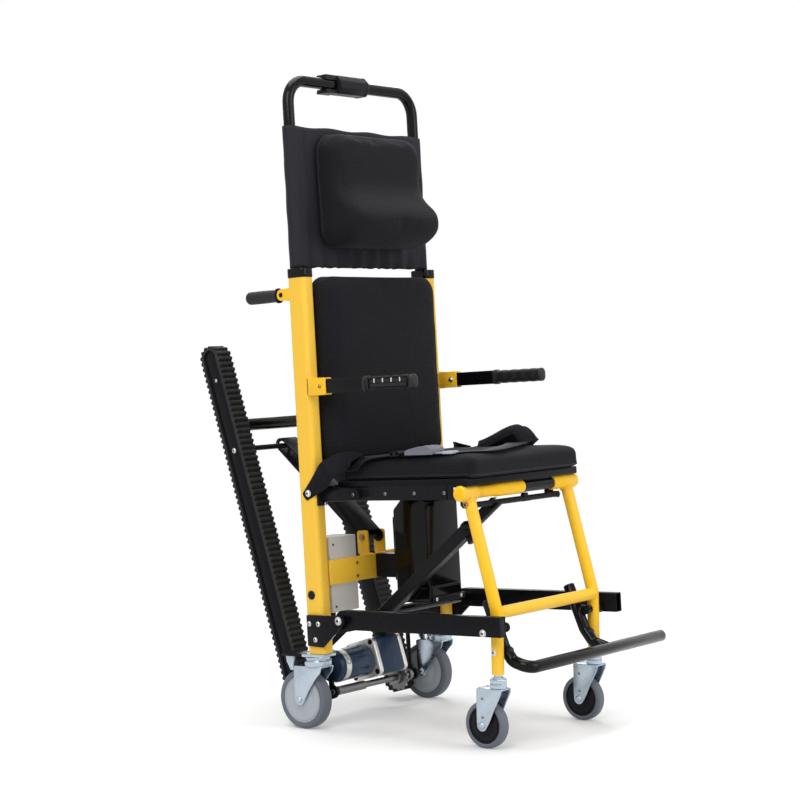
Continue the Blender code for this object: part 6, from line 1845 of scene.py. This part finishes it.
def belt_route():
    """Path of the lap belt from post to post over the seat, and the share of its width at each point."""
    y, z = SEAT_PIVOT
    top = SEAT_TOP
    out = POST_OUT + STRAP_T / 2 + GAP
    edge = SEAT_W / 2
    anchor = [(out, y + 0.1226, z - 0.0032), (out, y + 0.113, z + 0.004), (out, y + 0.074, z + 0.033),
              (out, y + 0.056, z + 0.052), (edge + 0.003, y + 0.032, z + 0.069),
              (edge - 0.009, y - 0.004, top - 0.003)]
    right = [(-a, b, c) for a, b, c in anchor]
    right += [(-edge + 0.032, y - 0.090, top), (-edge + 0.036, y - 0.200, top)]
    middle = [(-edge + 0.090, y - 0.262, top), (-0.020, y - 0.252, top + 0.003),
              (0.050, y - 0.232, top + 0.006)]
    left = [(edge - 0.060, y - 0.150, top + 0.002), (edge - 0.024, y - 0.050, top + 0.002)] + anchor[::-1]
    path = smooth_path(right + middle + left, 10)
    shares = []
    for point in path:
        back = point.y - y
        shares.append(1.0 if abs(point.x) < edge + 0.004 else min(1.0, 0.52 + (0.113 - back) / 0.039 * 0.48))
    for k, share in enumerate((0.10, 0.28, 0.38, 0.45, 0.50, 0.52, 0.53)):
        shares[k] = min(shares[k], share)
        shares[-1 - k] = min(shares[-1 - k], share)
    return path, shares


def make_lap_belt(seat):
    """Lap belt lying over the seat, with buckle, adjuster and a folded spare end."""
    skin = skin_tree(seat)

    def on_seat(x, y):
        """Height of the pad under a spot."""
        hit = skin.ray_cast(Vector((x, y, 0.75)), Vector((0.0, 0.0, -1.0)))[0]
        return hit.z if hit else SEAT_TOP - 0.02

    make_strap(on_seat)
    make_buckle(on_seat)
    make_spare_end(on_seat)


def make_strap(on_seat):
    """Strap of the lap belt, bolted to the posts; it bends where it leaves the chassis for the seat."""
    y, z = SEAT_PIVOT
    edge = SEAT_W / 2
    path, shares = belt_route()
    faces_out = []
    for point in path:
        lie = min(1.0, max(0.0, (edge + 0.012 - abs(point.x)) / 0.030))
        faces_out.append(Vector((math.copysign(1.0 - lie, point.x), 0.0, lie + 0.0001)).normalized())
        if lie > 0.6:
            rest = on_seat(point.x, point.y) + STRAP_T / 2 + 0.0008
            point.z = max(rest, rest + point.z - SEAT_TOP)
    strap = ribbon(path, faces_out, STRAP_W, STRAP_T, shares)
    strap.name = "lap_strap"
    strap.data.name = "lap_strap"
    strap.data.materials.append(WEBBING)
    strap.matrix_world = CHAIR
    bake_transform(strap)
    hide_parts("seat_belt")
    for side in SIDES.values():
        spot = (side * (POST_OUT + STRAP_T + GAP), y + 0.111, z + 0.0050)
        dome_bolt("chassis", spot, (side, 0, 0), 0.0058, 0.0042, CHROME)


def make_buckle(on_seat):
    """Buckle with its button and tongue, and the adjuster, on the near side of the seat."""
    x = -SEAT_W / 2 + BUCKLE_INSET
    deck = max(on_seat(x, BUCKLE_Y0), on_seat(x, BUCKLE_Y1)) + STRAP_T + 0.001
    length = BUCKLE_Y0 - BUCKLE_Y1
    side_view = [(0.0, 0.0), (0.0, 0.0080), (0.10, 0.0115), (0.45, 0.0165), (0.75, 0.0180), (0.92, 0.0160),
                 (1.0, 0.0100), (1.0, 0.0)]
    case = slab([(BUCKLE_Y0 - share * length, deck + height) for share, height in side_view], (-0.027, 0.027))
    soften(case, 0.0026, 3, 20)
    for vert in case.data.vertices:
        vert.co.x *= 1.0 - 0.18 * (BUCKLE_Y0 - vert.co.y) / length
    moved(case, Matrix.Translation((x, 0.0, 0.0)))
    button = box((x - 0.013, x + 0.013), (BUCKLE_Y1 + 0.008, BUCKLE_Y1 + 0.026),
                 (deck + 0.012, deck + 0.0186))
    case = join([case, soften(button, 0.0015, 2)])
    piece(case, "buckle_case", "seat", GREY_PLASTIC, "grey_plastic", "belt_buckle")
    tongue = box((x - 0.012, x + 0.012), (BUCKLE_Y1 - 0.044, BUCKLE_Y1 - 0.018), (deck, deck + 0.0060))
    strip = box((x - 0.010, x + 0.010), (BUCKLE_Y1 - 0.020, BUCKLE_Y1 + 0.004), (deck + 0.001, deck + 0.0035))
    tongue = join([soften(tongue, 0.0018, 2), soften(strip, 0.0006)])
    piece(tongue, "buckle_tongue", "seat", LIGHT_HUB, "grey_plastic")
    spots = [(ADJUSTER_Y + d, deck + 0.0040) for d in (-0.0072, 0.0072)]
    frame_bar = slab(capsule(*spots, 0.0052, 12), (x - 0.0255, x + 0.0255))
    cut(frame_bar, [rod_x(x - 0.03, x + 0.03, spot, 0.0030, 18) for spot in spots])
    piece(soften(frame_bar, 0.0008), "belt_adjuster", "seat", BLACK_PLASTIC, "black_plastic")


def make_spare_end(on_seat):
    """Spare end of the belt, folded over itself into a soft hump on the far half of the seat."""
    folds = ((0.088, 0.0, 1.0), (0.090, 0.001, 0.86), (0.092, 0.002, 0.72), (0.094, 0.002, 0.58),
             (0.096, 0.002, 0.44), (0.098, 0.002, 0.30), (0.103, -0.004, 0.90), (0.106, -0.004, 0.66))
    straps = []
    for x, shift, size in folds:
        base = on_seat(x, -0.27) + STRAP_T
        rise = [(-0.004, -0.222, 0.0005), (-0.002, -0.240, 0.0055), (0.0, -0.262, 0.0135),
                (0.002, -0.287, 0.024), (0.004, -0.308, 0.0310), (0.005, -0.320, 0.0315),
                (0.006, -0.331, 0.021), (0.007, -0.339, 0.009), (0.008, -0.345, 0.001)]
        path = smooth_path([(x + a, b + shift, base + c * size) for a, b, c in rise], 6)
        faces_out = []
        for i in range(len(path)):
            t = i / (len(path) - 1)
            wave = 0.12 * math.sin(8 * t + 90 * x)
            faces_out.append(Vector((-0.80 + 0.2 * t + wave, -0.5 * max(0.0, t - 0.5), 0.65)).normalized())
        straps.append(ribbon(path, faces_out, STRAP_W * 0.62, STRAP_T))
    piece(join(straps), "belt_spare_end", "seat", WEBBING, "fabric")


for name in ("Cube", "Light", "Camera"):
    if name in bpy.data.objects:
        bpy.data.objects.remove(bpy.data.objects[name], do_unlink=True)
make_camera()
make_world()
make_floor()
make_lamps()
make_posts()
make_handle()
make_control_box()
make_head_panel()
make_headrest()
make_backrest()
seat_pad = make_seat_pad()
make_seat_frame()
make_seat_brackets()
make_front_frame()
make_footrest()
make_base()
make_brace()
make_cross_plate()
make_battery()
make_controller()
make_arms()
make_rear_grips()
make_axle_frame()
make_motor()
make_shaft()
make_tracks()
make_strut()
make_rear_casters()
make_front_casters()
make_lap_belt(seat_pad)
make_fasteners()
bpy.context.view_layer.update()
